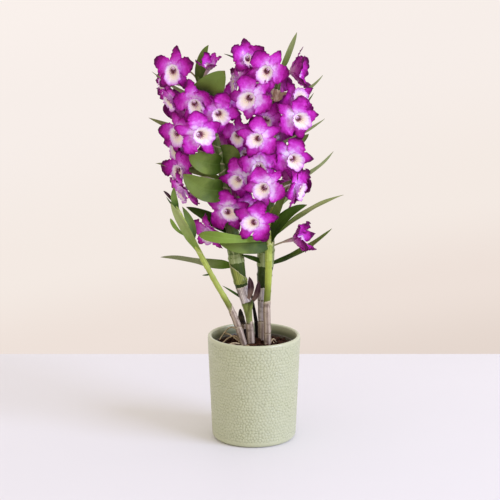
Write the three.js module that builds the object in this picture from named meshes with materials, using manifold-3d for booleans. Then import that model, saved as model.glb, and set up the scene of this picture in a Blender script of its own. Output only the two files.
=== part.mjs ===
// A dendrobium orchid in bloom, standing in a glazed cover pot.
// Millimetres, +Z up. The origin is the centre of the pot's underside, and the plant's front faces -Y.
// Two flowering canes and two young ones rise from the bark. Each cane is one solid with its leaves,
// and each bloom is one solid with its own stalk, seated a hair's breadth from its cane.

import * as THREE from "three";
import { mergeVertices } from "three/addons/utils/BufferGeometryUtils.js";
import Module from "manifold-3d";

const wasm = await Module();
wasm.setup();

// ---- driving dimensions ----

const SEAT_GAP = 0.35; // clearance between neighbouring solids
const POT = { height: 152, rimRadius: 66.5, footRadius: 60.5, wall: 5.6, floor: 8, footRound: 6, sides: 48 };
const LINER = { rimRadius: 58.2, footRadius: 48, height: 130, wall: 1.3, lip: 1.6, sides: 32 };
const BARK = { edgeTop: 136, crownTop: 143 };
const CHIPS = { count: 26, length: [10, 18], width: [6, 10], thick: [2.5, 4.5] };
const STEM_FOOT = 100; // height at which every stem ends, inside the bark
const CANE_SIDES = 7;
const LEAF_THICK = 0.9;
const PETAL_THICK = 0.75;

const PALETTE = {
  glaze: { color: 0xb9bf9b, roughness: 0.45 },
  liner: { color: 0x6f6a62, roughness: 0.4 },
  bark: { color: 0x4a2f22, roughness: 0.95 },
  young: { color: 0x9fbf4f, roughness: 0.5 },
  mature: { color: 0x5f7f3a, roughness: 0.5 },
  old: { color: 0x5a4a3c, roughness: 0.8 },
  petal: { color: 0xb52fb4, roughness: 0.55 },
};

// Centreline points (x, y, z) and [height, radius] pairs of each stem.
const CANES = {
  cane_centre: {
    line: [[-2, -6, 100], [-5, -6, 150], [-9, -5, 190], [-21, -3, 238], [-27, -1, 275], [-38, 1, 348],
      [-47, 3, 405], [-61, 4, 461], [-78, 5, 522]],
    radius: [[100, 4.8], [147, 5.2], [165, 5], [177, 4.6], [201, 7.2], [237, 9.9], [257, 11], [276, 11],
      [302, 9], [405, 5.6], [522, 2.8]],
    internode: 34,
    finish: "mature",
  },
  cane_right_back: {
    line: [[12, 10, 100], [12, 10, 165], [13, 11, 213], [16, 13, 250], [18, 13, 302], [20, 13, 345],
      [24, 12, 430], [31, 12, 495], [38, 12, 535]],
    radius: [[100, 5.2], [165, 5.8], [190, 6.6], [215, 8.2], [232, 10.4], [250, 11.8], [275, 12.2], [345, 8.8],
      [405, 6.4], [535, 2.8]],
    internode: 36,
    finish: "mature",
  },
  cane_left: {
    line: [[-5, -14, 100], [-16, -14, 145], [-31, -17, 189], [-57, -21, 238], [-81, -25, 286],
      [-101, -28, 328], [-114, -30, 356]],
    radius: [[100, 3.7], [160, 4.7], [190, 4.3], [250, 3.8], [356, 2.2]],
    internode: 27,
    finish: "young",
  },
  cane_right_front: {
    line: [[20, -9, 100], [19, -9, 160], [18, -9, 195], [21, -10, 230], [22, -11, 278], [24, -11, 318],
      [26, -10, 340]],
    radius: [[100, 4.2], [160, 4.8], [190, 5.2], [222, 5.9], [250, 6.5], [290, 6.2], [318, 4.4], [340, 2.6]],
    internode: 29,
    finish: "young",
  },
  cane_old: {
    line: [[8, 24, 100], [5, 22, 150], [-1, 19, 190], [-5, 17, 214]],
    radius: [[100, 3.2], [150, 3.5], [172, 2.7], [195, 1.8], [214, 1.2]],
    internode: 30,
    finish: "old",
  },
  bulb_old: {
    line: [[-12, 12, 100], [-14, 12, 140], [-18, 12, 168], [-20, 12, 187]],
    radius: [[100, 3.2], [140, 4.2], [165, 6.0], [187, 2.4]],
    internode: 12,
    finish: "old",
  },
};

// Each leaf: [cane, height it leaves the cane at, tip, bow of its middle off the straight line, width,
// the way its upper face looks].
const LEAVES = [
  ["cane_centre", 252, [-134, 10, 263], [0, 6, -1], 13.5, [0, -0.85, 0.5]],
  ["cane_centre", 298, [-96, 4, 337], [2, 4, 1], 20, [0.1, -0.7, 0.7]],
  ["cane_centre", 364, [-98, -40, 392], [0, -14, -8], 33, [0.1, -1, 0.1]],
  ["cane_centre", 398, [-90, -38, 417], [0, -14, -1], 31, [0.1, -1, 0.1]],
  ["cane_centre", 376, [-139, 8, 399], [0, 6, 2], 12, [0, -0.8, 0.6]],
  ["cane_centre", 424, [-148, 12, 463], [0, 8, -2], 12, [0, -0.8, 0.6]],
  ["cane_centre", 486, [-143, 18, 527], [0, 8, -6], 8, [0, -0.4, 0.9]],
  ["cane_centre", 498, [-63, -4, 566], [-6, 2, 4], 17, [-0.4, -0.9, 0.1]],
  ["cane_centre", 497, [-41, -38, 535], [-6, -10, -3], 36, [0.25, -1, 0.15]],
  ["cane_centre", 330, [-8, 70, 380], [6, 8, -4], 22, [0.1, 0.8, 0.5]],
  ["cane_centre", 440, [-70, 84, 486], [0, 8, -6], 20, [0.2, 0.7, 0.7]],
  ["cane_centre", 200, [-7, -18, 241], [4, -6, 0], 8.5, [0.15, -1, 0]],
  ["cane_centre", 196, [6, -13, 234], [5, -6, -2], 7.5, [-0.1, -1, 0]],
  ["cane_centre", 203, [-45, -10, 226], [0, 0, 0], 4, [0, -0.7, 0.7]],
  ["cane_right_back", 253, [-19, -15, 272], [2, 0, 0], 8.5, [0, -0.75, 0.6]],
  ["cane_right_back", 250, [111, 14, 304], [4, 0, -6], 13, [-0.3, -0.45, 0.85]],
  ["cane_right_back", 362, [112, 14, 415], [8, 0, -8], 13, [-0.4, 0.6, 0.7]],
  ["cane_right_back", 402, [78, 40, 436], [6, 4, 0], 15, [0, -0.6, 0.8]],
  ["cane_right_back", 420, [99, 10, 462], [8, 4, 0], 7, [-0.4, 0.8, 0.6]],
  ["cane_right_back", 452, [83, 4, 499], [6, 4, -4], 6, [-0.4, 0.8, 0.5]],
  ["cane_right_back", 480, [96, 14, 523], [8, 2, -3], 7, [-0.3, 0.8, 0.6]],
  ["cane_right_back", 500, [-42, 24, 551], [0, 8, 6], 12, [0.3, 0.5, 0.8]],
  ["cane_right_back", 526, [59, 4, 583], [0, 0, 0], 10, [0.5, -0.8, 0.1]],
  ["cane_right_back", 320, [70, 76, 362], [0, 6, -6], 22, [-0.2, 0.7, 0.7]],
  ["cane_right_back", 440, [18, 86, 490], [0, 8, -6], 20, [0, 0.7, 0.7]],
  ["cane_left", 277, [-116, -42, 352], [-1, -4, 2], 14, [-0.4, -0.9, 0.1]],
  ["cane_left", 296, [-101, -13, 341], [4, 3, -3], 13, [0.3, -0.9, 0.3]],
  ["cane_left", 300, [-117, -28, 327], [-3, -4, -4], 6, [0, -0.8, 0.6]],
  ["cane_left", 338, [-111, -30, 372], [-3, -3, 0], 9.5, [0.2, -1, 0.1]],
  ["cane_left", 344, [-126, -33, 367], [0, 0, 2], 5, [0, -0.7, 0.7]],
  ["cane_left", 246, [-73, -30, 246], [0, 0, -1], 4, [0, -0.4, 0.9]],
  ["cane_right_front", 286, [74, -26, 346], [-7, -5, 9], 18, [-0.3, -0.8, 0.5]],
  ["cane_right_front", 294, [-76, -46, 308], [0, -20, 1], 15, [0, -0.95, 0.4]],
  ["cane_right_front", 288, [-44, -34, 294], [0, -9, 1], 20, [0, -1, -0.1]],
  ["cane_right_front", 305, [47, -20, 370], [-2, -4, 1], 12.5, [-0.35, -0.9, 0.2]],
  ["cane_right_front", 292, [126, -4, 356], [0, 0, 8], 12, [-0.35, -0.4, 0.85]],
];
const LEAF_ROWS = [[0, 0.36], [0.3, 0.95], [0.62, 0.88], [0.88, 0.42]]; // [share of length, share of width]
const LEAF_FOLD = 0.26; // how far the edges stand up from the midrib, as a share of the half width

// Pale roots that leave the foot of the left cane and lie on the bark.
const ROOTS = [
  [[-16, -14, 141], [-26, -6, 150], [-36, 2, 146], [-46, -8, 140], [-52, -20, 139]],
  [[-15, -13, 140], [-30, -20, 144], [-40, -28, 141], [-36, -38, 140]],
];

// Each bloom: [x, y, z of the middle of its lip, yaw and pitch of its face, roll of its top sepal, size,
// cane, and how many degrees it is still closed, where it isn't open]. Yaw 0 faces the front, and a
// positive yaw turns the face to the right.
const BLOOMS = [
  [-113, -15, 528, -15, 5, 3, 1.02, "cane_centre"],
  [-64, -14, 540, 0, 72, 20, 0.85, "cane_centre", 48],
  [-8, -2, 546, 15, 40, 0, 1.0, "cane_right_back", 28],
  [15, -32, 530, 0, 5, 35, 1.0, "cane_right_back"],
  [64, 16, 523, 80, 12, 10, 1.18, "cane_right_back", 42],
  [-10, -38, 494, -10, 0, 50, 1.05, "cane_right_back"],
  [-30, 0, 514, -75, 10, -10, 1.0, "cane_right_back"],
  [-81, -32, 484, -5, -8, -15, 1.0, "cane_centre"],
  [-47, -37, 472, -5, -5, -45, 1.0, "cane_centre"],
  [-70, -52, 447, 10, 0, -75, 1.05, "cane_centre"],
  [-131, 20, 507, -65, 0, 0, 0.85, "cane_centre"],
  [-120, 6, 484, -55, -25, 0, 0.9, "cane_centre"],
  [-109, -6, 440, -35, 0, -20, 1.0, "cane_centre"],
  [64, -4, 493, 30, 5, -160, 0.95, "cane_right_back"],
  [65, -22, 464, 15, 0, -55, 1.02, "cane_right_back"],
  [15, -12, 460, -10, -10, 35, 0.9, "cane_right_back"],
  [2, -46, 440, 0, 0, 65, 1.02, "cane_right_back"],
  [-24, -8, 437, -20, -10, 0, 0.9, "cane_right_back"],
  [37, 36, 428, 150, 0, 0, 0.95, "cane_right_back"],
  [57, -16, 406, 15, 0, -45, 1.02, "cane_right_back"],
  [7, -28, 396, 0, 5, -10, 0.98, "cane_right_back"],
  [-113, 18, 414, -45, -10, 10, 0.95, "cane_centre"],
  [-25, -22, 378, -20, -8, 45, 1.0, "cane_right_back"],
  [11, -48, 371, -5, 0, 45, 0.98, "cane_right_back"],
  [67, -8, 362, 60, -10, -30, 1.0, "cane_right_back"],
  [-35, -26, 334, -15, 0, -70, 1.0, "cane_centre"],
  [-10, -20, 336, 0, 20, 0, 0.85, "cane_right_back"],
  [-4, -52, 325, 0, 0, 80, 1.02, "cane_right_back"],
  [-68, -20, 298, -35, -20, 5, 0.95, "cane_centre", 10],
  [69, 6, 289, 70, 12, -50, 1.1, "cane_right_back", 46],
  [-104, -16, 357, -60, -30, 5, 0.95, "cane_centre"],
  [-108, -6, 389, -40, 5, -20, 0.95, "cane_centre"],
  [-44, 16, 482, -15, 0, 20, 0.95, "cane_centre"],
  [-11, 4, 409, -10, 0, -20, 0.9, "cane_right_back"],
  [26, 66, 494, 175, 5, 0, 1.0, "cane_right_back"],
  [-6, 66, 411, -165, 0, 40, 1.0, "cane_right_back"],
  [58, 60, 361, 150, 0, -30, 1.0, "cane_right_back"],
  [-100, 56, 470, -160, 0, 30, 1.0, "cane_centre"],
  [-52, 64, 411, 170, 0, -40, 1.0, "cane_centre"],
  [-22, 58, 332, -170, 5, 20, 0.95, "cane_right_back"],
  [22, 58, 303, 165, -5, -30, 0.9, "cane_right_back"],
];

// The heart is a five-sided prism. From each side grows a tepal, from its front the lip, from its back
// the stalk. Angles run round the face, from the bloom's right over its top.
const HEART = { radius: 4.2, halfDepth: 0.8, corners: [-13, 56, 124, 193, 270] };
const SEPAL = { length: 28, width: 13.5, rise: 2, sweep: -14, cup: 0, wave: 0 };
const PETAL = { length: 26, width: 23, rise: 14, sweep: -14, cup: 1.6, wave: 1 };
const SEPAL_ROWS = [[0.4, 0.95], [0.8, 0.8]]; // [share of length, share of width]
const PETAL_ROWS = [[0.38, 0.9], [0.78, 0.82]];
const TEPALS = [
  { angle: 22, across: [-1, 0, 1], rows: PETAL_ROWS, ...PETAL },
  { angle: 90, across: [-1, 1], rows: SEPAL_ROWS, ...SEPAL },
  { angle: 158, across: [-1, 0, 1], rows: PETAL_ROWS, ...PETAL },
  { angle: 231, across: [-1, 1], rows: SEPAL_ROWS, ...SEPAL },
  { angle: 309, across: [-1, 1], rows: SEPAL_ROWS, ...SEPAL },
];
const LIP = { forward: 9, drop: 5, tilt: 6, mouth: 11.2, frill: 0.9, rim: 0.8, shut: 100 };
const THROAT = { radius: 2.7, depth: 4 };
const COLUMN = { forward: 8, rise: 1 };
const STALK = { neck: 2.4, stem: 1.3, reach: 20, drop: 10 };

// Ways a tepal may bend further and swing sideways (degrees), and a stalk may run (shift of its foot
// along the cane, and of its elbow), tried in turn until it clears its neighbours.
const BENDS = [[0, 0], [12, 0], [-14, 0], [0, 9], [0, -9], [-28, 0], [22, 0], [-16, 10], [-16, -10],
  [14, 10], [14, -10], [-42, 0], [-32, 12], [-32, -12], [-56, 0], [-50, 12], [-50, -12], [-72, 0]];
const SHIFTS = [0, 5, -5, 10, -10, 16, -16];
const ELBOWS = [[0, 0, 0], [0, 0, 10], [0, 0, -10], [10, 0, 0], [-10, 0, 0], [0, 10, 0], [12, 0, 10],
  [-12, 0, 10], [12, 0, -10], [-12, 0, -10], [22, 0, 0], [-22, 0, 0], [0, 0, 22], [0, 0, -22]];
const STALK_WAYS = SHIFTS.flatMap((shift) => ELBOWS.map((elbow) => ({ shift, elbow })));

// ---- small helpers ----

const vec = (p) => new THREE.Vector3(...p);
const radians = THREE.MathUtils.degToRad;

// A point moved by each [direction, distance] in turn.
function offset(point, ...moves) {
  return moves.reduce((moved, [way, far]) => moved.addScaledVector(way, far), point.clone());
}

function seededRandom(seed) {
  let state = seed >>> 0;
  return () => {
    state = (state + 0x6d2b79f5) >>> 0;
    let t = Math.imul(state ^ (state >>> 15), state | 1);
    t ^= t + Math.imul(t ^ (t >>> 7), t | 61);
    return ((t ^ (t >>> 14)) >>> 0) / 4294967296;
  };
}

// Value at x of a line through [x, value] pairs, level past both ends.
function along(pairs, x) {
  if (x <= pairs[0][0]) return pairs[0][1];
  for (let i = 1; i < pairs.length; i++) {
    const [x0, v0] = pairs[i - 1];
    const [x1, v1] = pairs[i];
    if (x <= x1) return v0 + ((v1 - v0) * (x - x0)) / (x1 - x0);
  }
  return pairs[pairs.length - 1][1];
}

// A closed solid from its corners and triangles, turned to face out.
function closedSolid(points, triangles) {
  const vertProperties = new Float32Array(points.flatMap((p) => [p.x, p.y, p.z]));
  const build = (list) => {
    const triVerts = new Uint32Array(list.flat());
    return new wasm.Manifold(new wasm.Mesh({ numProp: 3, vertProperties, triVerts }));
  };
  const made = build(triangles);
  return made.volume() > 0 ? made : build(triangles.map(([a, b, c]) => [a, c, b]));
}

function solidOfGeometry(geometry) {
  const bare = geometry.clone();
  bare.deleteAttribute("normal");
  bare.deleteAttribute("uv");
  const merged = mergeVertices(bare, 1e-3);
  const at = merged.attributes.position;
  const points = Array.from({ length: at.count }, (_, i) => new THREE.Vector3().fromBufferAttribute(at, i));
  const triangles = [];
  for (let i = 0; i < merged.index.count; i += 3) {
    triangles.push([0, 1, 2].map((k) => merged.index.getX(i + k)));
  }
  return closedSolid(points, triangles.filter(([a, b, c]) => a !== b && b !== c && c !== a));
}

function largestPiece(solid) {
  return solid.decompose().reduce((best, piece) => (piece.volume() > best.volume() ? piece : best));
}

function meshOf(name, solid, finish) {
  const mesh = solid.getMesh();
  const geometry = new THREE.BufferGeometry();
  geometry.setAttribute("position", new THREE.BufferAttribute(new Float32Array(mesh.vertProperties), 3));
  geometry.setIndex(new THREE.BufferAttribute(new Uint32Array(mesh.triVerts), 1));
  geometry.computeVertexNormals();
  const material = new THREE.MeshStandardMaterial({ ...PALETTE[finish], metalness: 0 });
  const made = new THREE.Mesh(geometry, material);
  made.name = name;
  return made;
}

// ---- shapes shared by canes, leaves and blooms ----

// Triangles between two rows of corner numbers, which may hold different counts.
function strip(a, b) {
  const triangles = [];
  let [i, j] = [0, 0];
  while (i + 1 < a.length || j + 1 < b.length) {
    const behind = (i + 0.5) / (a.length - 1) < (j + 0.5) / (b.length - 1);
    const onA = j + 1 === b.length || (i + 1 < a.length && behind);
    triangles.push(onA ? [a[i], b[j], a[i + 1]] : [a[i], b[j], b[j + 1]]);
    if (onA) i += 1;
    else j += 1;
  }
  return triangles;
}

// A tube through rings of points. Each ring holds as many as the first, or twice as many as the one
// before it, and a ring of one point closes the tube.
function tube(rings) {
  const points = rings.flat();
  const numbers = [];
  rings.reduce((start, ring) => {
    numbers.push(ring.map((_, k) => start + k));
    return start + ring.length;
  }, 0);
  const round = (ring) => [...ring, ring[0]];
  const triangles = [];
  for (let i = 0; i + 1 < rings.length; i++) {
    const single = rings[i + 1].length === 1;
    triangles.push(...strip(round(numbers[i]), single ? numbers[i + 1] : round(numbers[i + 1])));
  }
  const fan = (ring) => ring.slice(2).map((_, k) => [ring[0], ring[k + 1], ring[k + 2]]);
  const last = numbers[numbers.length - 1];
  triangles.push(...fan(numbers[0]));
  triangles.push(...fan(last).map(([a, b, c]) => [a, c, b]));
  return closedSolid(points, triangles);
}

function ringAt({ centre, side, front }, radius, angles) {
  return angles.map((a) => offset(centre, [side, radius * Math.cos(a)], [front, radius * Math.sin(a)]));
}

// Frames square to a curve, carried along it without twisting.
function framesAlong(curve, stations, startSide) {
  let side = startSide.clone();
  return stations.map((t) => {
    const tangent = curve.getTangent(t);
    side = side.clone().addScaledVector(tangent, -side.dot(tangent)).normalize();
    return { centre: curve.getPoint(t), side, front: side.clone().cross(tangent) };
  });
}

const evenAngles = (count) => Array.from({ length: count }, (_, k) => (2 * Math.PI * k) / count);

// Front and back corners of a thin row of points.
function slab(points, normal, thick) {
  const front = points.map((p) => offset(p, [normal, thick / 2]));
  const back = points.map((p) => offset(p, [normal, -thick / 2]));
  return { front, back };
}

// A thin blade through slabs, the last of one point. Both faces are split into triangles alike, so that
// a waved blade doesn't cross itself.
function blade(rows) {
  const points = [...rows.flatMap((row) => row.front), ...rows.flatMap((row) => row.back)];
  const under = points.length / 2;
  const numbers = [];
  rows.reduce((start, row) => {
    numbers.push(row.front.map((_, k) => start + k));
    return start + row.front.length;
  }, 0);
  const face = numbers.slice(1).flatMap((row, i) => strip(numbers[i], row));
  const rightEdge = numbers.slice(1).map((row) => row[row.length - 1]);
  const leftEdge = numbers.slice(1, -1).map((row) => row[0]);
  const outline = [...numbers[0], ...rightEdge, ...leftEdge.reverse()];
  const rim = outline.flatMap((a, k) => {
    const b = outline[(k + 1) % outline.length];
    return [
      [a, b, b + under],
      [a, b + under, a + under],
    ];
  });
  const reversed = face.map(([a, b, c]) => [a + under, c + under, b + under]);
  return closedSolid(points, [...face, ...reversed, ...rim]);
}

// ---- pot, liner and bark ----

function lathe(profile, sides) {
  const outline = profile.map(([r, z]) => new THREE.Vector2(r, z));
  return new THREE.LatheGeometry(outline, sides).rotateX(Math.PI / 2);
}

function potSolid() {
  const { height, rimRadius, footRadius, wall, floor, footRound, sides } = POT;
  const rimInner = rimRadius - wall;
  const floorInner = footRadius - wall;
  const profile = [
    [0, 0],
    [footRadius - footRound, 0],
    [footRadius - footRound * 0.3, footRound * 0.3],
    [footRadius, footRound],
    [rimRadius, height - 2.5],
    [rimRadius - 0.8, height - 0.6],
    [rimRadius - wall / 2, height],
    [rimInner + 0.8, height - 0.6],
    [rimInner, height - 2.5],
    [floorInner, floor + 4],
    [floorInner - 4, floor],
    [0, floor],
  ];
  return solidOfGeometry(lathe(profile, sides));
}

const linerFoot = POT.floor + SEAT_GAP;
const linerTop = linerFoot + LINER.height;
const linerInside = [
  [linerFoot + LINER.wall, LINER.footRadius - LINER.wall],
  [linerTop, LINER.rimRadius - LINER.wall],
];

function linerSolid() {
  const { rimRadius, footRadius, wall, lip, sides } = LINER;
  const profile = [
    [0, linerFoot],
    [footRadius, linerFoot],
    [rimRadius, linerTop - 3],
    [rimRadius + lip, linerTop - 3],
    [rimRadius + lip, linerTop],
    [rimRadius - wall, linerTop],
    [footRadius - wall, linerFoot + wall],
    [0, linerFoot + wall],
  ];
  return solidOfGeometry(lathe(profile, sides));
}

const GOLDEN_ANGLE = Math.PI * (3 - Math.sqrt(5)); // spreads the chips evenly over the top

// A bark chip: a box with its corners pulled about, at a place and turn.
function chipSolid(random, place) {
  const span = ([low, high]) => low + (high - low) * random();
  const box = new THREE.BoxGeometry(span(CHIPS.length), span(CHIPS.width), span(CHIPS.thick));
  box.deleteAttribute("normal");
  box.deleteAttribute("uv");
  const chip = mergeVertices(box, 1e-3);
  const at = chip.attributes.position;
  const pull = () => 0.7 + 0.3 * random();
  for (let i = 0; i < at.count; i++) at.setXYZ(i, at.getX(i) * pull(), at.getY(i) * pull(), at.getZ(i));
  const turn = new THREE.Euler((random() - 0.5) * 0.7, (random() - 0.5) * 0.7, random() * Math.PI);
  chip.applyMatrix4(new THREE.Matrix4().makeRotationFromEuler(turn).setPosition(place));
  return solidOfGeometry(chip);
}

function barkSolid(stems) {
  const inside = (z) => along(linerInside, z) - SEAT_GAP;
  const foot = linerFoot + LINER.wall + SEAT_GAP;
  const edge = inside(BARK.edgeTop);
  const topAt = (r) => along([[0, BARK.crownTop], [edge, BARK.edgeTop]], r);
  const profile = [
    [0, foot],
    [inside(foot), foot],
    [edge, BARK.edgeTop],
    [0, BARK.crownTop],
  ];
  let bark = solidOfGeometry(lathe(profile, LINER.sides));
  const random = seededRandom(41);
  for (let i = 0; i < CHIPS.count; i++) {
    const radius = (edge - 10) * Math.sqrt((i + 0.5) / CHIPS.count);
    const angle = i * GOLDEN_ANGLE + random() * 0.5;
    const place = new THREE.Vector3(Math.cos(angle), Math.sin(angle), 0).multiplyScalar(radius);
    place.z = topAt(radius) + 0.6;
    bark = bark.add(chipSolid(random, place));
  }
  for (const stem of stems) bark = bark.subtract(stem);
  return largestPiece(bark);
}

// ---- canes, leaves and roots ----

const curveThrough = (points) => new THREE.CatmullRomCurve3(points.map(vec), false, "centripetal");
const curves = Object.fromEntries(
  Object.entries(CANES).map(([name, cane]) => [name, curveThrough(cane.line)]),
);

const caneTop = (name) => CANES[name].line[CANES[name].line.length - 1][2];

// Heights of a cane's node rings, from the bark up.
function nodeHeights(name) {
  const { internode } = CANES[name];
  const heights = [];
  for (let z = BARK.crownTop + internode * 0.6; z < caneTop(name) - 8; z += internode) heights.push(z);
  return heights;
}

// Where a curve that only climbs passes a height, by bisection.
function stationAt(curve, z) {
  let [low, high] = [0, 1];
  for (let i = 0; i < 24; i++) {
    const mid = (low + high) / 2;
    if (curve.getPoint(mid).z < z) low = mid;
    else high = mid;
  }
  return (low + high) / 2;
}

const onCane = (name, z) => curves[name].getPoint(stationAt(curves[name], z));

function stemSolid(name, grow) {
  const levels = [[STEM_FOOT, 1]];
  for (const z of nodeHeights(name)) levels.push([z, 1.1], [z + CANES[name].internode * 0.5, 0.96]);
  levels.push([caneTop(name), 0.7]);
  const curve = curves[name];
  const frames = framesAlong(curve, levels.map(([z]) => stationAt(curve, z)), new THREE.Vector3(1, 0, 0));
  frames[0].centre.z -= grow;
  frames[frames.length - 1].centre.z += grow;
  const radiusAt = ([z, swell]) => along(CANES[name].radius, z) * swell + grow;
  return tube(frames.map((frame, i) => ringAt(frame, radiusAt(levels[i]), evenAngles(CANE_SIDES))));
}

function leafSolid([cane, height, tip, bow, width, face], grow) {
  const base = onCane(cane, height);
  const end = vec(tip);
  const middle = offset(base.clone().lerp(end, 0.5), [vec(bow), 2]);
  const spine = new THREE.QuadraticBezierCurve3(base, middle, end);
  const look = vec(face).normalize();
  const frameAt = (t) => {
    const tangent = spine.getTangent(t);
    const side = tangent.clone().cross(look).normalize();
    return { tangent, side, normal: side.clone().cross(tangent) };
  };
  const thick = LEAF_THICK + 2 * grow;
  const rows = LEAF_ROWS.map(([t, share]) => {
    const { side, normal } = frameAt(t);
    const half = (width / 2) * share + grow;
    const centre = spine.getPoint(t);
    const fold = [normal, half * LEAF_FOLD];
    const [left, right] = [-half, half].map((far) => offset(centre, [side, far], fold));
    return slab([left, centre, right], normal, thick);
  });
  const last = frameAt(1);
  return blade([...rows, slab([offset(end, [last.tangent, grow])], last.normal, thick * 0.8)]);
}

function rootSolid(points, grow) {
  const curve = curveThrough(points);
  const stations = evenAngles(9).map((_, i) => i / 8);
  const frames = framesAlong(curve, stations, new THREE.Vector3(0, 0, 1));
  return tube(frames.map((frame, i) => ringAt(frame, 1.9 - 0.7 * stations[i] + grow, evenAngles(5))));
}

function stemWithRoots(name, grow) {
  const stem = stemSolid(name, grow);
  return name === "cane_left" ? ROOTS.reduce((all, root) => all.add(rootSolid(root, grow)), stem) : stem;
}

function leafyCane(name, grow) {
  const leaves = LEAVES.filter(([cane]) => cane === name);
  return leaves.reduce((all, leaf) => all.add(leafSolid(leaf, grow)), stemWithRoots(name, grow));
}

// ---- blooms ----

// The bloom's own axes: face looks out of it, up to its top sepal, right completes them.
function bloomFrame([x, y, z, yaw, pitch, roll, size, cane, closed = 0]) {
  const [a, b, c] = [radians(yaw), radians(pitch), radians(roll)];
  const face = new THREE.Vector3(Math.sin(a) * Math.cos(b), -Math.cos(a) * Math.cos(b), Math.sin(b));
  const level = new THREE.Vector3(Math.cos(a), Math.sin(a), 0);
  const upright = face.clone().cross(level);
  const up = offset(upright.multiplyScalar(Math.cos(c)), [level, Math.sin(c)]);
  const heart = offset(new THREE.Vector3(x, y, z), [face, -LIP.forward * size], [up, LIP.drop * size]);
  return { heart, face, up, right: up.clone().cross(face), size, cane, closed };
}

const heartAngles = HEART.corners.map(radians);

function heartCorners({ heart, face, up, right, size }, forward, grow) {
  const frame = { centre: offset(heart, [face, forward]), side: right, front: up };
  return ringAt(frame, HEART.radius * size + grow, heartAngles);
}

const heartFront = (frame, grow) => heartCorners(frame, HEART.halfDepth + grow, grow);
const heartBack = (frame, grow) => heartCorners(frame, -HEART.halfDepth - grow, grow);

// A tepal grows from one side of the heart; its spine climbs and then sweeps back along its length.
function tepalSolid(frame, k, [bend, swing], grow) {
  const { angle, across, length, width, rise, sweep, cup, wave, rows } = TEPALS[k];
  const { heart, face, up, right, size, closed } = frame;
  const ray = (degrees) => {
    const turn = radians(degrees);
    return offset(right.clone().multiplyScalar(Math.cos(turn)), [up, Math.sin(turn)]);
  };
  const out = ray(angle + swing);
  const side = face.clone().cross(out);
  const heading = (t) => {
    const lift = radians(rise + closed + bend * 0.6 + (sweep + bend * 0.8) * t);
    return offset(out.clone().multiplyScalar(Math.cos(lift)), [face, Math.sin(lift)]);
  };
  const spineAt = (t) => {
    const steps = 12;
    const step = (length * size * t) / steps;
    const point = offset(heart, [ray(angle), HEART.radius * size]);
    for (let i = 0; i < steps; i++) point.addScaledVector(heading((t * (i + 0.5)) / steps), step);
    return point;
  };
  const thick = PETAL_THICK + 2 * grow;
  const slabs = rows.map(([t, share], i) => {
    const normal = side.clone().cross(heading(t)).negate();
    const half = (width / 2) * size * share + grow;
    const ripple = wave * (i % 2 ? -1 : 1);
    const lift = (j) => (j === 0 ? 0 : cup + j * ripple);
    return slab(across.map((j) => offset(spineAt(t), [side, j * half], [normal, lift(j)])), normal, thick);
  });
  const last = heading(1);
  const tip = slab([offset(spineAt(1), [last, grow])], side.clone().cross(last).negate(), thick);
  const [front, back] = [heartFront(frame, grow), heartBack(frame, grow)];
  const next = (k + 1) % front.length;
  return blade([{ front: [front[k], front[next]], back: [back[k], back[next]] }, ...slabs, tip]);
}

// The lip opens from the heart's front to a frilled mouth, and the column stands in its throat.
function lipSolid(frame, grow) {
  const { heart, face, up, right, size, closed } = frame;
  const { forward, drop, tilt, frill, rim } = LIP;
  const mouth = LIP.mouth * (1 - closed / LIP.shut);
  const lean = radians(tilt);
  const axis = offset(face.clone().multiplyScalar(Math.cos(lean)), [up, -Math.sin(lean)]);
  const upright = offset(up.clone().multiplyScalar(Math.cos(lean)), [face, Math.sin(lean)]);
  const centre = offset(heart, [face, forward * size], [up, -drop * size]);
  const mouthAngles = heartAngles.flatMap((a, k) => [a, radians(TEPALS[k].angle)]);
  const mouthRing = (radius, ahead) =>
    mouthAngles.map((a, k) => {
      const ripple = frill * (k % 2 ? 1 : -1);
      const reach = (radius + ripple) * size;
      const onAxis = offset(centre, [axis, ahead - ripple * 0.5]);
      return offset(onAxis, [right, reach * Math.cos(a)], [upright, reach * Math.sin(a)]);
    });
  const throat = offset(heart, [face, THROAT.depth * size + grow], [up, -1]);
  const throatFrame = { centre: throat, side: right, front: up };
  return tube([
    heartFront(frame, grow),
    mouthRing(mouth + grow, 0),
    mouthRing(mouth - rim - grow, rim + grow),
    ringAt(throatFrame, THROAT.radius * size - grow, heartAngles),
    [offset(heart, [face, COLUMN.forward * size + grow], [up, COLUMN.rise])],
  ]);
}

// The stalk runs from the heart's back to the cane's axis; the cane's own clearance trims it to its seat.
function stalkSolid(frame, { shift, elbow }, grow) {
  const { heart, face, right, size, cane } = frame;
  const missBy = (z) => Math.abs(z - (heart.z - STALK.drop));
  const node = nodeHeights(cane).reduce((best, z) => (missBy(z) < missBy(best) ? z : best));
  const foot = onCane(cane, node + shift);
  const bend = offset(offset(heart, [face, -STALK.reach * size]).lerp(foot, 0.2), [vec(elbow), 1]);
  const spine = new THREE.CubicBezierCurve3(heart, bend, bend.clone().lerp(foot, 0.5), foot);
  const frames = framesAlong(spine, [0.14, 0.32, 0.65, 1], right);
  const radii = [STALK.neck * size, STALK.stem, STALK.stem, STALK.stem];
  return tube([heartBack(frame, grow), ...frames.map((f, i) => ringAt(f, radii[i] + grow, heartAngles))]);
}

// Volume that a solid shares with those already placed.
function shared(solid, placed) {
  const box = solid.boundingBox();
  const meets = (other) => [0, 1, 2].every((k) => other.min[k] < box.max[k] && other.max[k] > box.min[k]);
  const near = placed.filter((other) => meets(other.box));
  return near.reduce((sum, other) => sum + solid.intersect(other.keepOut).volume(), 0);
}

// The first choice that clears every neighbour, or the one that crosses them least.
function clearest(choices, shape, placed) {
  let best = { volume: Infinity };
  for (const choice of choices) {
    const volume = shared(shape(choice), placed);
    if (volume < best.volume) best = { choice, volume };
    if (volume < 1e-6) break;
  }
  return best.choice;
}

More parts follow.
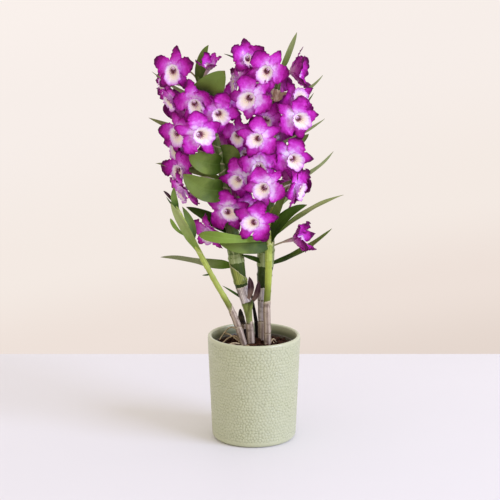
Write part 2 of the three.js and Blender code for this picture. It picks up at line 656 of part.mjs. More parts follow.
const asNeighbour = (name, keepOut) => ({ name, keepOut, box: keepOut.boundingBox() });

function bloomSolids(row, stem, placed) {
  const frame = bloomFrame(row);
  const way = clearest(STALK_WAYS, (choice) => stalkSolid(frame, choice, 0).subtract(stem), placed);
  const bends = TEPALS.map((_, k) => clearest(BENDS, (bend) => tepalSolid(frame, k, bend, 0), placed));
  const build = (grow) => {
    const tepals = bends.map((bend, k) => tepalSolid(frame, k, bend, grow));
    const heart = tube([heartBack(frame, grow), heartFront(frame, grow)]);
    const grown = [lipSolid(frame, grow), stalkSolid(frame, way, grow), ...tepals];
    return grown.reduce((all, piece) => all.add(piece), heart);
  };
  const whole = build(0).subtract(stem);
  const crossed = placed.filter((other) => shared(whole, [other]) > 1e-4);
  const solid = crossed.reduce((left, other) => left.subtract(other.keepOut), whole);
  return { solid: largestPiece(solid), keepOut: build(SEAT_GAP) };
}

// ---- the whole plant ----

const group = new THREE.Group();
const canes = Object.keys(CANES);
group.add(meshOf("pot", potSolid(), "glaze"));
group.add(meshOf("nursery_pot", linerSolid(), "liner"));
group.add(meshOf("medium", barkSolid(canes.map((name) => stemWithRoots(name, SEAT_GAP))), "bark"));
for (const name of canes) group.add(meshOf(name, leafyCane(name, 0), CANES[name].finish));

// The front blooms are placed first, so that the ones behind give way to them.
const stems = Object.fromEntries(canes.map((name) => [name, stemSolid(name, SEAT_GAP)]));
const placed = canes.map((name) => asNeighbour(name, leafyCane(name, SEAT_GAP)));
const named = BLOOMS.map((row, i) => ({ row, name: `bloom_${String(i + 1).padStart(2, "0")}` }));
for (const { row, name } of named.sort((a, b) => a.row[1] - b.row[1])) {
  const { solid, keepOut } = bloomSolids(row, stems[row[7]], placed);
  placed.push(asNeighbour(name, keepOut));
  group.add(meshOf(name, solid, "petal"));
}

export default group;
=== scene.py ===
"""Looks of a dendrobium orchid in a glazed cover pot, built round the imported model.

Lengths are millimetres in the model's own frame until a piece is made, where they become metres.
Colours are display values of 0 to 255 until shade() makes them linear.
"""

import math

import bpy
import numpy as np
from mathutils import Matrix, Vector, kdtree


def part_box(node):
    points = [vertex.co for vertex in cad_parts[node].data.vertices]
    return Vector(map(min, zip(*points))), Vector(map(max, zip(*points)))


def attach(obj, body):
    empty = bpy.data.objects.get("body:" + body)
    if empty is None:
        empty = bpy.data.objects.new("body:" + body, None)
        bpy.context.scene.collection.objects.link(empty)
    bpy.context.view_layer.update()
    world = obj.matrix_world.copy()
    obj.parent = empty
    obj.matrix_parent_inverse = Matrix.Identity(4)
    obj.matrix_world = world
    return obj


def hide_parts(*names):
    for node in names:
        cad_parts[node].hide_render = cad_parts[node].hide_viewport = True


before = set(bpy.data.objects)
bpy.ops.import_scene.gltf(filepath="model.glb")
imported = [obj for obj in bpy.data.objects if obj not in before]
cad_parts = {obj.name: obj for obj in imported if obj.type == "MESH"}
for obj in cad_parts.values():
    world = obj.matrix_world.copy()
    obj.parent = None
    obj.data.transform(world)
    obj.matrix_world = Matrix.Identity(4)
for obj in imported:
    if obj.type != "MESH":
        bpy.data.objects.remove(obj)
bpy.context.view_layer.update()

MM = 0.001
SEED = 7

# ---- the camera, fitted to the pot's rim and foot ----

PHOTO_SIDE = 500  # pixels
FOCAL_PIXELS = 1586.0
CAMERA_AT = (-5.8, -2200.0, 762.1)
CAMERA_PITCH = 12.468  # degrees below level
SENSOR = 36.0  # width of the camera's sensor
SEEN_FAR = 20  # how far the camera sees, in metres
TABLE_BACK = 420.0  # the table's far edge
TABLE_HALF = 1700.0  # from under the pot to its other edges
WINDOW_AT = (5.2, -3.0, 3.3)  # metres
WINDOW_AIM = (0, 0, 0.25)  # metres
WINDOW_SIDE = 3.6  # metres
WINDOW_WATTS = 425
WINDOW_COLOUR = (0.6, 0.667, 1.0)

# ---- the stems ----

# Of each stem: points of its centreline, (height, radius) pairs, distance between its nodes, the record's
# material slot, roughness, finish of the sleeves under its leaves, and (height, colour) pairs up its skin.
CANES = {
    "cane_centre": {
        "line": [(-2, -6, 100), (-5, -6, 150), (-9, -5, 190), (-21, -3, 238), (-27, -1, 275), (-38, 1, 348),
                 (-47, 3, 405), (-61, 4, 461), (-78, 5, 522)],
        "radius": [(100, 4.8), (147, 5.2), (165, 5), (177, 4.6), (201, 7.2), (237, 9.9), (257, 11), (276, 11),
                   (302, 9), (405, 5.6), (522, 2.8)],
        "internode": 34, "slot": "mature_cane", "rough": 0.38, "sheath": "moss_sheath",
        "bands": [(100, (120, 104, 92)), (168, (140, 124, 108)), (174, (140, 148, 84)), (196, (134, 146, 72)),
                  (202, (64, 76, 24)), (226, (50, 66, 14)), (252, (60, 80, 18)), (262, (88, 106, 42)),
                  (300, (100, 120, 58)), (420, (104, 126, 60)), (522, (104, 126, 60))],
    },
    "cane_right_back": {
        "line": [(12, 10, 100), (12, 10, 165), (13, 11, 213), (16, 13, 250), (18, 13, 302), (20, 13, 345),
                 (24, 12, 430), (31, 12, 495), (38, 12, 535)],
        "radius": [(100, 5.2), (165, 5.8), (190, 6.6), (215, 8.2), (232, 10.4), (250, 11.8), (275, 12.2),
                   (345, 8.8), (405, 6.4), (535, 2.8)],
        "internode": 36, "slot": "mature_cane", "rough": 0.34, "sheath": "moss_sheath",
        "bands": [(100, (112, 98, 86)), (214, (120, 108, 92)), (220, (40, 46, 16)), (224, (48, 64, 14)),
                  (249, (60, 78, 20)), (258, (98, 114, 58)), (300, (84, 104, 48)), (420, (100, 120, 58)),
                  (535, (110, 130, 66))],
    },
    "cane_left": {
        "line": [(-5, -14, 100), (-16, -14, 145), (-31, -17, 189), (-57, -21, 238), (-81, -25, 286),
                 (-101, -28, 328), (-114, -30, 356)],
        "radius": [(100, 3.7), (160, 4.7), (190, 4.3), (250, 3.8), (356, 2.2)],
        "internode": 27, "slot": "young_cane", "rough": 0.4, "sheath": "lime_sheath",
        "bands": [(100, (136, 116, 104)), (176, (168, 150, 130)), (190, (186, 172, 142)),
                  (198, (118, 126, 56)), (208, (142, 152, 64)), (216, (174, 186, 88)), (290, (184, 198, 94)),
                  (356, (152, 168, 82))],
    },
    "cane_right_front": {
        "line": [(20, -9, 100), (19, -9, 160), (18, -9, 195), (20, -10, 230), (20.8, -11, 278),
                 (23.2, -11, 318), (26, -10, 340)],
        "radius": [(100, 4.2), (160, 4.8), (190, 5.0), (222, 4.8), (250, 4.9), (290, 4.7), (318, 4.0),
                   (340, 2.6)],
        "internode": 29, "slot": "young_cane", "rough": 0.36, "sheath": "lime_sheath",
        "bands": [(100, (140, 118, 102)), (196, (160, 142, 118)), (204, (110, 122, 44)),
                  (220, (136, 150, 58)), (232, (172, 186, 76)), (290, (192, 206, 90)), (340, (160, 176, 74))],
    },
    "cane_old": {
        "line": [(8, 24, 100), (5, 22, 150), (-1, 19, 190), (-5, 17, 214)],
        "radius": [(100, 3.2), (150, 3.5), (172, 2.7), (195, 1.8), (214, 1.2)],
        "internode": 30, "slot": "old_cane", "rough": 0.5,
        "bands": [(100, (16, 10, 9)), (170, (12, 8, 7)), (214, (26, 18, 14))],
    },
    "bulb_old": {
        "line": [(-12, 12, 100), (-14, 12, 140), (-18, 12, 168), (-20, 12, 187)],
        "radius": [(100, 3.2), (140, 4.2), (165, 6.0), (187, 2.4)],
        "internode": 12, "slot": "old_cane", "rough": 0.65,
        "bands": [(100, (44, 32, 22)), (150, (54, 42, 30)), (156, (26, 18, 12)), (164, (84, 70, 52)),
                  (168, (28, 20, 14)), (174, (74, 62, 46)), (179, (24, 16, 12)), (187, (48, 38, 28))],
    },
}

# The leaves of each stem: height they leave it at, tip, bow of the middle, width, the way they face, tint.
LEAVES = {
    "cane_centre": [
        (252, (-134, 10, 263), (0, 6, -1), 14.5, (0, -0.85, 0.5), "tailed"),
        (298, (-96, 4, 337), (2, 4, 1), 20, (0.1, -0.7, 0.7), "deep"),
        (364, (-98, -40, 392), (0, -14, -8), 33, (0.1, -1, 0.1), "olive"),
        (398, (-90, -38, 417), (0, -14, -1), 31, (0.1, -1, 0.1), "olive"),
        (376, (-139, 8, 399), (0, 6, 2), 12, (0, -0.8, 0.6), "grey"),
        (424, (-148, 12, 463), (0, 8, -2), 12, (0, -0.8, 0.6), "grey"),
        (486, (-143, 18, 527), (0, 8, -6), 8, (0, -0.4, 0.9), "grey"),
        (498, (-63, -4, 566), (-6, 2, 4), 17, (-0.4, -0.9, 0.1), "split"),
        (497, (-40, -38, 534), (-6, -10, -6), 41, (0.25, -1, 0.15), "olive"),
        (330, (-8, 70, 380), (6, 8, -4), 22, (0.1, 0.8, 0.5), "olive"),
        (440, (-70, 84, 486), (0, 8, -6), 20, (0.2, 0.7, 0.7), "deep"),
        (200, (-7, -18, 241), (4, -6, 0), 9.5, (0.15, -1, 0), "bract"),
        (196, (6, -13, 234), (5, -6, -2), 8.5, (-0.1, -1, 0), "bract"),
        (203, (-45, -10, 226), (0, 0, 0), 4, (0, -0.7, 0.7), "deep"),
        (412, (-20, -4, 404), (0, -3, 5), 27, (0.1, -1, 0.1), "olive"),
        (388, (-16, -4, 378), (0, -3, 5), 25, (0.1, -1, 0.1), "olive"),
    ],
    "cane_right_back": [
        (253, (-19, -15, 272), (2, 0, 0), 8.5, (0, -0.75, 0.6), "deep"),
        (250, (111, 14, 304), (4, 0, -6), 13, (-0.3, -0.45, 0.85), "split"),
        (362, (112, 14, 415), (8, 0, -8), 13, (-0.4, 0.6, 0.7), "grey"),
        (402, (78, 40, 436), (6, 4, 0), 15, (0, -0.6, 0.8), "olive"),
        (420, (99, 10, 462), (8, 4, 0), 7, (-0.4, 0.8, 0.6), "grey"),
        (452, (83, 4, 499), (6, 4, -4), 6, (-0.4, 0.8, 0.5), "deep"),
        (480, (96, 14, 523), (8, 2, -3), 7, (-0.3, 0.8, 0.6), "grey"),
        (489, (51, -2, 497), (0, 0, 2), 10, (0, -1, 0.2), "husk"),
        (500, (-42, 24, 551), (0, 8, 6), 12, (0.3, 0.5, 0.8), "deep"),
        (526, (59, 4, 583), (0, 0, 0), 10, (0.5, -0.8, 0.1), "grey"),
        (320, (70, 76, 362), (0, 6, -6), 22, (-0.2, 0.7, 0.7), "olive"),
        (440, (18, 86, 490), (0, 8, -6), 20, (0, 0.7, 0.7), "deep"),
    ],
    "cane_left": [
        (277, (-116, -42, 352), (-1, -4, 2), 14, (-0.4, -0.9, 0.1), "pale"),
        (296, (-101, -13, 341), (4, 3, -3), 13, (0.3, -0.9, 0.3), "split"),
        (300, (-117, -28, 327), (-3, -4, -4), 6, (0, -0.8, 0.6), "fresh"),
        (338, (-111, -30, 372), (-3, -3, 0), 9.5, (0.2, -1, 0.1), "split"),
        (344, (-126, -33, 367), (0, 0, 2), 5, (0, -0.7, 0.7), "bract"),
        (336, (-122.4, -34, 359), (0, -1, -1), 3, (0, -0.7, 0.7), "deep"),
        (246, (-73, -30, 246), (0, 0, -1), 4, (0, -0.4, 0.9), "deep"),
    ],
    "cane_right_front": [
        (286, (74, -26, 346), (-7, -5, 9), 18, (-0.3, -0.8, 0.5), "deep"),
        (294, (-77, -46, 308), (0, -20, 1), 16, (0, -0.95, 0.35), "fresh"),
        (288, (-50, -34, 295), (0, -9, -1), 26, (0, -1, 0.1), "olive"),
        (305, (47, -20, 370), (-2, -4, 1), 12.5, (-0.35, -0.9, 0.2), "olive"),
        (292, (126, -4, 356), (0, 0, 8), 12, (-0.35, -0.4, 0.85), "pale"),
    ],
}
# Of each shape of leaf: (share of length, share of width) pairs. A tint that isn't named here is plain.
LEAF_SHAPES = {
    "plain": [(0, 0.36), (0.12, 0.62), (0.3, 0.95), (0.46, 1), (0.62, 0.91), (0.8, 0.63), (0.92, 0.32),
              (1, 0.02)],
    "tailed": [(0, 0.14), (0.08, 0.5), (0.22, 1), (0.36, 0.9), (0.54, 0.58), (0.8, 0.42), (0.94, 0.22),
               (1, 0.02)],
    "olive": [(0, 0.5), (0.12, 0.82), (0.28, 1), (0.46, 1), (0.64, 0.9), (0.8, 0.66), (0.92, 0.36),
              (1, 0.02)],
    "fresh": [(0, 0.34), (0.3, 0.5), (0.55, 0.82), (0.74, 1), (0.87, 0.86), (0.96, 0.5), (1, 0.04)],
    "bract": [(0, 0.34), (0.2, 0.46), (0.45, 0.86), (0.62, 1), (0.8, 0.82), (0.92, 0.46), (1, 0.04)],
}
FIRST_NODE = 0.6  # height of the lowest node over the bark, as a share of the distance between nodes
TOP_BARE = 8  # no node is nearer to a stem's top than this
BARE_BELOW = 270  # leaves that start lower than this have no sleeve
DRY = ("bract", "husk")  # nor have leaves of these tints
LEAF_FOLD = 0.26  # how far a leaf's edges rise from its midrib, as a share of its half width
LEAF_THICK = 0.8  # beside its midrib
LEAF_RIB = 0.35  # what the midrib adds at the leaf's foot
LEAF_STATIONS = 34  # along it
LEAF_WAVE = 0.05  # height of the waves of its edge, as a share of its width
LEAF_WAVE_LENGTH = 42
TAIL_SWAY = 2.4  # how far the tailed leaf sways to its sides
BLADE_COLUMNS = 13  # points across a leaf or a tepal
SOLID_UV = 0.02  # steps of u and v a millimetre on a loose solid

# Of each tint: colour at the leaf's foot, at its tip, and underneath.
LEAF_TINTS = {
    "olive": ((62, 86, 20), (110, 128, 56), (122, 138, 76)),
    "deep": ((42, 68, 4), (56, 82, 12), (96, 118, 48)),
    "grey": ((116, 140, 58), (142, 152, 94), (146, 156, 102)),
    "tailed": ((96, 126, 36), (142, 148, 106), (140, 150, 104)),
    "split": ((50, 80, 12), (114, 140, 62), (128, 144, 84)),
    "pale": ((132, 160, 66), (160, 172, 106), (156, 168, 108)),
    "fresh": ((108, 136, 46), (124, 150, 58), (136, 156, 80)),
    "bract": ((150, 122, 108), (56, 24, 34), (96, 66, 62)),
    "husk": ((244, 220, 184), (222, 194, 158), (230, 204, 170)),
}

# The papery sleeves of each stem: low edge, high edge, finish, slant of the top edge, and where that is
# highest, in degrees round the stem.
SHEATHS = {
    "cane_centre": [
        (140, 171, "straw_sheath", 2.0, 60),
        (200.5, 223.5, "paper_sheath", 0.6, 0),
        (228, 246, "olive_sheath", 12.0, 178),
        (258, 288, "sage_sheath", 2.0, 90),
        (300, 326, "moss_sheath", 3.0, 0),
    ],
    "cane_right_back": [
        (140, 168, "straw_sheath", 1.0, 90),
        (170, 218, "paper_sheath", 0.8, 120),
        (250, 284, "sage_sheath", 2.0, 60),
        (300, 330, "moss_sheath", 3.0, 180),
        (486, 501, "khaki_sheath", 2.0, 90),
    ],
    "cane_right_front": [
        (140, 155, "straw_sheath", 1.0, 100),
        (157, 202, "straw_sheath", 2.5, 60),
    ],
    "cane_left": [
        (140, 166, "straw_sheath", 2.0, 120),
        (169, 195, "straw_sheath", 5.0, 330),
    ],
    "bulb_old": [
        (157, 163, "straw_sheath", 1.0, 90),
    ],
}

ROOT_THICK = 1.15  # radius of the pale roots at their start
# Pale roots that leave the foot of the left cane and lie on the bark.
ROOTS = [
    [(-16, -14, 141), (-26, -6, 150), (-36, 2, 146), (-46, -8, 140), (-52, -20, 139)],
    [(-15, -13, 140), (-30, -20, 144), (-40, -28, 141), (-36, -38, 140)],
    [(-18, -12, 148), (-26, 6, 158), (-36, 22, 155), (-46, 18, 145), (-50, 6, 141)],
    [(-14, -16, 139), (-24, -30, 143), (-34, -34, 146), (-46, -28, 142), (-52, -14, 139)],
    [(-20, -8, 142), (-34, 12, 147), (-44, 28, 146), (-40, 36, 140)],
]

# A green side shoot of the centre cane, which carries the two dark bracts: points of its line, and (share of
# its length, radius) pairs.
SHOOT = [(-8, -9, 170), (-6.5, -12, 184), (-3.5, -13.5, 199), (-3, -14.5, 206)]
SHOOT_RADII = [(0, 2.6), (0.5, 2.1), (0.85, 2.0), (1, 0.6)]
# A closed bud that hangs beside the plant, from its stalk's foot on the centre cane to its tip, given alike.
BUD_STALK = [(-40, 0, 364), (-66, -10, 382), (-88, -10, 378), (-89, -11, 364)]
BUD_STALK_RADII = [(0, 1.7), (0.1, 1.2), (0.8, 1.1), (1, 1.6)]
BUD = [(-89, -11, 364), (-86.5, -12, 355), (-82.5, -12, 348), (-79.5, -12, 342)]
BUD_RADII = [(0, 1.6), (0.12, 3.2), (0.35, 4.9), (0.6, 4.6), (0.85, 2.6), (1, 0.3)]

# ---- the blooms ----

CENTRE, BACK = "cane_centre", "cane_right_back"
# Each bloom: x, y, z of the middle of its lip, yaw and pitch of its face, roll of its top sepal, size, stem,
# and how many degrees it is still closed, where it isn't open.
BLOOMS = [
    (-113, -15, 528, -15, 5, 3, 1.02, CENTRE),
    (-64, -14, 540, 0, 72, 20, 0.85, CENTRE, 48),
    (-8, -2, 546, 15, 40, 0, 1.0, BACK, 28),
    (15, -32, 530, 0, 5, 35, 1.0, BACK),
    (64, 16, 523, 80, 12, 10, 1.18, BACK, 42),
    (-10, -38, 494, -10, 0, 50, 1.05, BACK),
    (-30, 0, 514, -75, 10, -10, 1.0, BACK),
    (-81, -32, 484, -5, -8, -15, 1.0, CENTRE),
    (-47, -37, 472, -5, -5, -45, 1.0, CENTRE),
    (-70, -52, 447, 10, 0, -75, 1.05, CENTRE),
    (-131, 20, 507, -65, 0, 0, 0.85, CENTRE),
    (-120, 6, 484, -55, -25, 0, 0.9, CENTRE),
    (-109, -6, 440, -35, 0, -20, 1.0, CENTRE),
    (64, -4, 493, 30, 5, -160, 0.95, BACK),
    (65, -22, 464, 15, 0, -55, 1.02, BACK),
    (15, -12, 460, -10, -10, 35, 0.9, BACK),
    (2, -46, 440, 0, 0, 65, 1.02, BACK),
    (-24, -8, 437, -20, -10, 0, 0.9, BACK),
    (37, 36, 428, 150, 0, 0, 0.95, BACK),
    (57, -16, 406, 15, 0, -45, 1.02, BACK),
    (7, -28, 396, 0, 5, -10, 0.98, BACK),
    (-113, 18, 414, -45, -10, 10, 0.95, CENTRE),
    (-25, -22, 378, -20, -8, 45, 1.0, BACK),
    (11, -48, 371, -5, 0, 45, 0.98, BACK),
    (67, -8, 362, 60, -10, -30, 1.0, BACK),
    (-35, -26, 334, -15, 0, -70, 1.0, CENTRE),
    (-10, -20, 336, 0, 20, 0, 0.85, BACK),
    (-4, -52, 325, 0, 0, 80, 1.02, BACK),
    (-68, -20, 298, -35, -20, 5, 0.95, CENTRE, 10),
    (69, 6, 289, 70, 12, -50, 1.1, BACK, 46),
    (-104, -16, 357, -60, -30, 5, 0.95, CENTRE),
    (-108, -6, 389, -40, 5, -20, 0.95, CENTRE),
    (-44, 16, 482, -15, 0, 20, 0.95, CENTRE),
    (-11, 4, 409, -10, 0, -20, 0.9, BACK),
    (26, 66, 494, 175, 5, 0, 1.0, BACK),
    (-6, 66, 411, -165, 0, 40, 1.0, BACK),
    (58, 60, 361, 150, 0, -30, 1.0, BACK),
    (-100, 56, 470, -160, 0, 30, 1.0, CENTRE),
    (-52, 64, 411, 170, 0, -40, 1.0, CENTRE),
    (-22, 58, 332, -170, 5, 20, 0.95, BACK),
    (22, 58, 303, 165, -5, -30, 0.9, BACK),
]

HEART_RADIUS = 4.2
HEART_HALF_DEPTH = 0.8
# The first three lines of a kind of tepal are its solid's. The others make it finer: ruffle of its edge and
# bowl of its face, then stations along it, where it is widest, width of its foot, how fast that swells, and
# limits of the sharpness of its tip and of its width.
SEPAL = {
    "length": 28, "width": 13.5, "rise": 2, "sweep": -14, "cup": 0, "wave": 0,
    "rows": [(0.4, 0.95), (0.8, 0.8)],
    "across": (-1, 1),
    "ruffle": 1.3, "bowl": -0.6,
    "stations": 26, "swell": 0.38, "root": 0.4, "rising": 1.0, "point": (1.4, 2.2), "widen": (1.1, 1.36),
}
PETAL = {
    "length": 26, "width": 23, "rise": 14, "sweep": -14, "cup": 1.6, "wave": 1,
    "rows": [(0.38, 0.9), (0.78, 0.82)],
    "across": (-1, 0, 1),
    "ruffle": 2.3, "bowl": 1.6,
    "stations": 32, "swell": 0.46, "root": 0.24, "rising": 0.8, "point": (1.1, 1.9), "widen": (1.02, 1.24),
}
TEPALS = [
    {"angle": 22, **PETAL},
    {"angle": 90, **SEPAL},
    {"angle": 158, **PETAL},
    {"angle": 231, **SEPAL},
    {"angle": 309, **SEPAL},
]
PETAL_THICK = 0.75
PAST_SOLID = 1.04  # length of a tepal as a share of its solid's
# Limits of what differs from tepal to tepal: curl of the tip, twist, folds and depth of colour.
CURL, TWIST, FOLD, TONE = (-3.5, 2.5), (-0.3, 0.3), (-1.8, 1.8), (-0.06, 0.06)
BLOOM_TONE = (-0.1, 0.08)  # limits of what a whole bloom's depth of colour differs by
LIP = {
    "forward": 9, "drop": 5, "tilt": 6, "mouth": 11.2, "shut": 100,
    "foot": 4.0, "broad": (0.9, 1.12), "tall": (0.94, 1.17), "rows_out": 9, "rows_in": 14,
}
FRILL = ((0.4, 4), (0.45, 9), (0.35, 14), (0.25, 22))  # strength and count of the waves round the lip's edge
FRILL_OUT, FRILL_AHEAD = 1.15, 1.9  # how far they move it outwards and forwards
THROAT = {"radius": 2.7, "depth": 4}
COLUMN_REACH = 7.6
COLUMN_RADII = (2.1, 2.2, 2.2, 2.1, 2.1, 2.2, 2.3, 2.2, 1.4)  # evenly spaced along it
STALK = {"stem": 1.3, "reach": 20, "drop": 10}  # radius, way back from the heart, height lost to its foot
NECK = [(0, 3.4), (0.08, 2.9), (0.16, 2.2)]  # (share of length, radius) of its neck, on a bloom of size 1

# The ways a tepal may bend and swing and a stalk may run; the solid of each bloom shows which it took.
BENDS = [(0, 0), (12, 0), (-14, 0), (0, 9), (0, -9), (-28, 0), (22, 0), (-16, 10), (-16, -10), (14, 10),
         (14, -10), (-42, 0), (-32, 12), (-32, -12), (-56, 0), (-50, 12), (-50, -12), (-72, 0)]
SHIFTS = [0, 5, -5, 10, -10, 16, -16]
ELBOWS = [(0, 0, 0), (0, 0, 10), (0, 0, -10), (10, 0, 0), (-10, 0, 0), (0, 10, 0), (12, 0, 10), (-12, 0, 10),
          (12, 0, -10), (-12, 0, -10), (22, 0, 0), (-22, 0, 0), (0, 0, 22), (0, 0, -22)]
BEND_FOOT, BEND_ON = 0.6, 0.8  # shares of a bend that lift a tepal's foot, and that curve it from there on
SAME_PLACE = 0.05  # points this near each other are the same corner
SAME_RADIUS = 0.02  # and points this near a stalk's radius from its line are on its ring
STALK_SIDES = 5  # of a stalk's solid
PAINTED_SHADE_BACK = 0.2  # painted shade: how much deeper in colour the blooms at the back are made
PAINTED_SHADE_SPAN = (-30, 20)  # y from which the painted shade deepens the blooms, and where it is deepest

# ---- the pot and what fills it ----

pot_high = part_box("pot")[1]
POT_HEIGHT = pot_high.z / MM
RIM_RADIUS = pot_high.x / MM
FOOT_RADIUS = 60.5
POT_WALL = 5.6
POT_FLOOR = 8.0
FOOT_ROUND = 6.0
COVE = 5.0  # radius of the corner between its wall and its floor
POT_HUB = 6.0  # radius of the floor's innermost ring
POT_FACETS = 420  # round it
WALL_ROWS = 150  # up its side
PEBBLE = 5.0  # spacing of the pebbled relief
PEBBLE_ROW = PEBBLE * 0.87  # between its rows
PEBBLE_JITTER = 0.36  # how far a pebble is moved at most, as a share of the spacing
PEBBLE_DEPTH = 1.25
PEBBLE_MEAN = 0.8  # the level that lies on the wall's own surface
GROOVE = 1.8  # how wide the slope from a groove to a crown is
PLAIN_FOOT = (3.0, 10.0)  # the relief comes in between these heights
PLAIN_RIM = (2.0, 6.0)  # and goes out between these depths under the rim
liner_low, liner_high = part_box("nursery_pot")
LINER_TOP = liner_high.z / MM
LINER_FOOT = liner_low.z / MM
LINER_RIM = liner_high.x / MM
LINER_WALL = 1.3
LINER_FOOT_RADIUS = 48.0
LINER_HUB = 4.0  # radius of its floor's innermost ring
BARK_EDGE, BARK_CROWN = 136.0, 143.0  # heights of the bark's top
BARK_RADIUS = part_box("medium")[1].x / MM
BARK_HUB = 3.0  # radius of its body's innermost ring
BARK_SUNK = 1.5  # how far the body lies under the chips
CHIPS = 260
CHIP_SIDES = ((6, 15), (4, 8), (2.2, 4.2))  # least and most length of each
CHIP_TURNS = ((-0.45, 0.45), (-0.45, 0.45), (0, 6.3))  # least and most turn about x, y and z, in radians
CHIP_PULL = 0.16  # how far a chip's points are drawn in and pulled about, as a share of its half sides
CHIP_EDGE = 6  # from the bark's edge to the nearest chip's middle
CHIP_CLEAR = 7  # from a stem's middle to the nearest chip's
LOOSE_ROOTS = 9
# Of the loose roots: where they start either side of the middle, their reach, rise, bow to a side and radius.
LOOSE_ROOT = {"start": (-40, 40), "reach": (14, 26), "rise": (3, 6), "bow": (-6, 6), "thick": (0.9, 1.5)}


def shade(red, green, blue):
    """A linear colour from display values of 0 to 255, by the sRGB curve."""
    channel = [c / 255 for c in (red, green, blue)]
    return tuple(c / 12.92 if c <= 0.04045 else ((c + 0.055) / 1.055) ** 2.4 for c in channel) + (1.0,)


# ---- vectors and curves ----


def unit(v):
    return v / np.linalg.norm(v, axis=-1, keepdims=True)


def vec(*values):
    return np.array(values, float)


def ease(low, high, x):
    """0 at low and 1 at high, smoothly between; low may be the larger."""
    t = np.clip((x - low) / (high - low), 0, 1)
    return t * t * (3 - 2 * t)


def round_angles(count, start=0.0):
    """Evenly spaced angles once round, in radians."""
    return start + np.linspace(0, 2 * math.pi, count, endpoint=False)


def through(pairs, x):
    """A smooth line through (x, value) pairs that makes no bump of its own."""
    xs, ys = (np.array(c, float) for c in zip(*pairs))
    step, rise = np.diff(xs), np.diff(ys) / np.diff(xs)
    slope = np.zeros(len(xs))
    same = rise[:-1] * rise[1:] > 0
    slope[1:-1] = np.where(same, 2 * rise[:-1] * rise[1:] / np.where(same, rise[:-1] + rise[1:], 1), 0)
    slope[0], slope[-1] = rise[0], rise[-1]
    x = np.clip(np.asarray(x, float), xs[0], xs[-1])
    k = np.clip(np.searchsorted(xs, x, side="right") - 1, 0, len(step) - 1)
    t = (x - xs[k]) / step[k]
    first = ys[k] * (1 + 2 * t) * (1 - t) ** 2 + ys[k + 1] * t * t * (3 - 2 * t)
    return first + step[k] * (slope[k] * t * (1 - t) ** 2 - slope[k + 1] * t * t * (1 - t))


def spline(points, count=400):
    """Points of a centripetal Catmull-Rom curve."""
    given = [np.array(p, float) for p in points]
    knots = [2 * given[0] - given[1], *given, 2 * given[-1] - given[-2]]
    made = []
    for s in np.linspace(0, len(given) - 1, count):
        k = min(int(s), len(given) - 2)
        p0, p1, p2, p3 = knots[k : k + 4]
        d0, d1, d2 = (np.linalg.norm(b - a) ** 0.5 for a, b in ((p0, p1), (p1, p2), (p2, p3)))
        leave = ((p1 - p0) / d0 - (p2 - p0) / (d0 + d1) + (p2 - p1) / d1) * d1
        arrive = ((p2 - p1) / d1 - (p3 - p1) / (d1 + d2) + (p3 - p2) / d2) * d1
        t = s - k
        bend = (3 * (p2 - p1) - 2 * leave - arrive) * t**2 + (2 * (p1 - p2) + leave + arrive) * t**3
        made.append(p1 + leave * t + bend)
    return np.array(made)


def bezier(points, t):
    """Points of a Bezier curve of any degree at stations t."""
    points = np.array(points, float)
    t = np.asarray(t, float)[:, None]
    degree = len(points) - 1
    weights = [math.comb(degree, k) * t**k * (1 - t) ** (degree - k) for k in range(degree + 1)]
    return sum(w * p for w, p in zip(weights, points))


def frames_along(points, start_side):
    """Unit side and front at each point of a line, square to it and not twisting about it."""
    tangents = unit(np.gradient(points, axis=0))
    side = np.array(start_side, float)
    sides = []
    for tangent in tangents:
        side = unit(side - tangent * (side @ tangent))
        sides.append(side)
    sides = np.array(sides)
    return sides, np.cross(sides, tangents)


CURVES = {name: spline(cane["line"]) for name, cane in CANES.items()}


def cane_top(name):
    return CANES[name]["line"][-1][2]


def on_cane(name, z):
    curve = CURVES[name]
    z = np.asarray(z, float)
    return np.stack([np.interp(z, curve[:, 2], curve[:, k]) for k in (0, 1)] + [z], axis=-1)


def node_heights(name):
    """Heights of a stem's node rings, evenly spaced from just over the bark to just under its top."""
    step = CANES[name]["internode"]
    return np.arange(BARK_CROWN + step * FIRST_NODE, cane_top(name) - TOP_BARE, step)


# ---- making meshes ----


def show(name, data):
    """A new object of data, in the scene."""
    made = bpy.data.objects.new(name, data)
    bpy.context.scene.collection.objects.link(made)
    return made


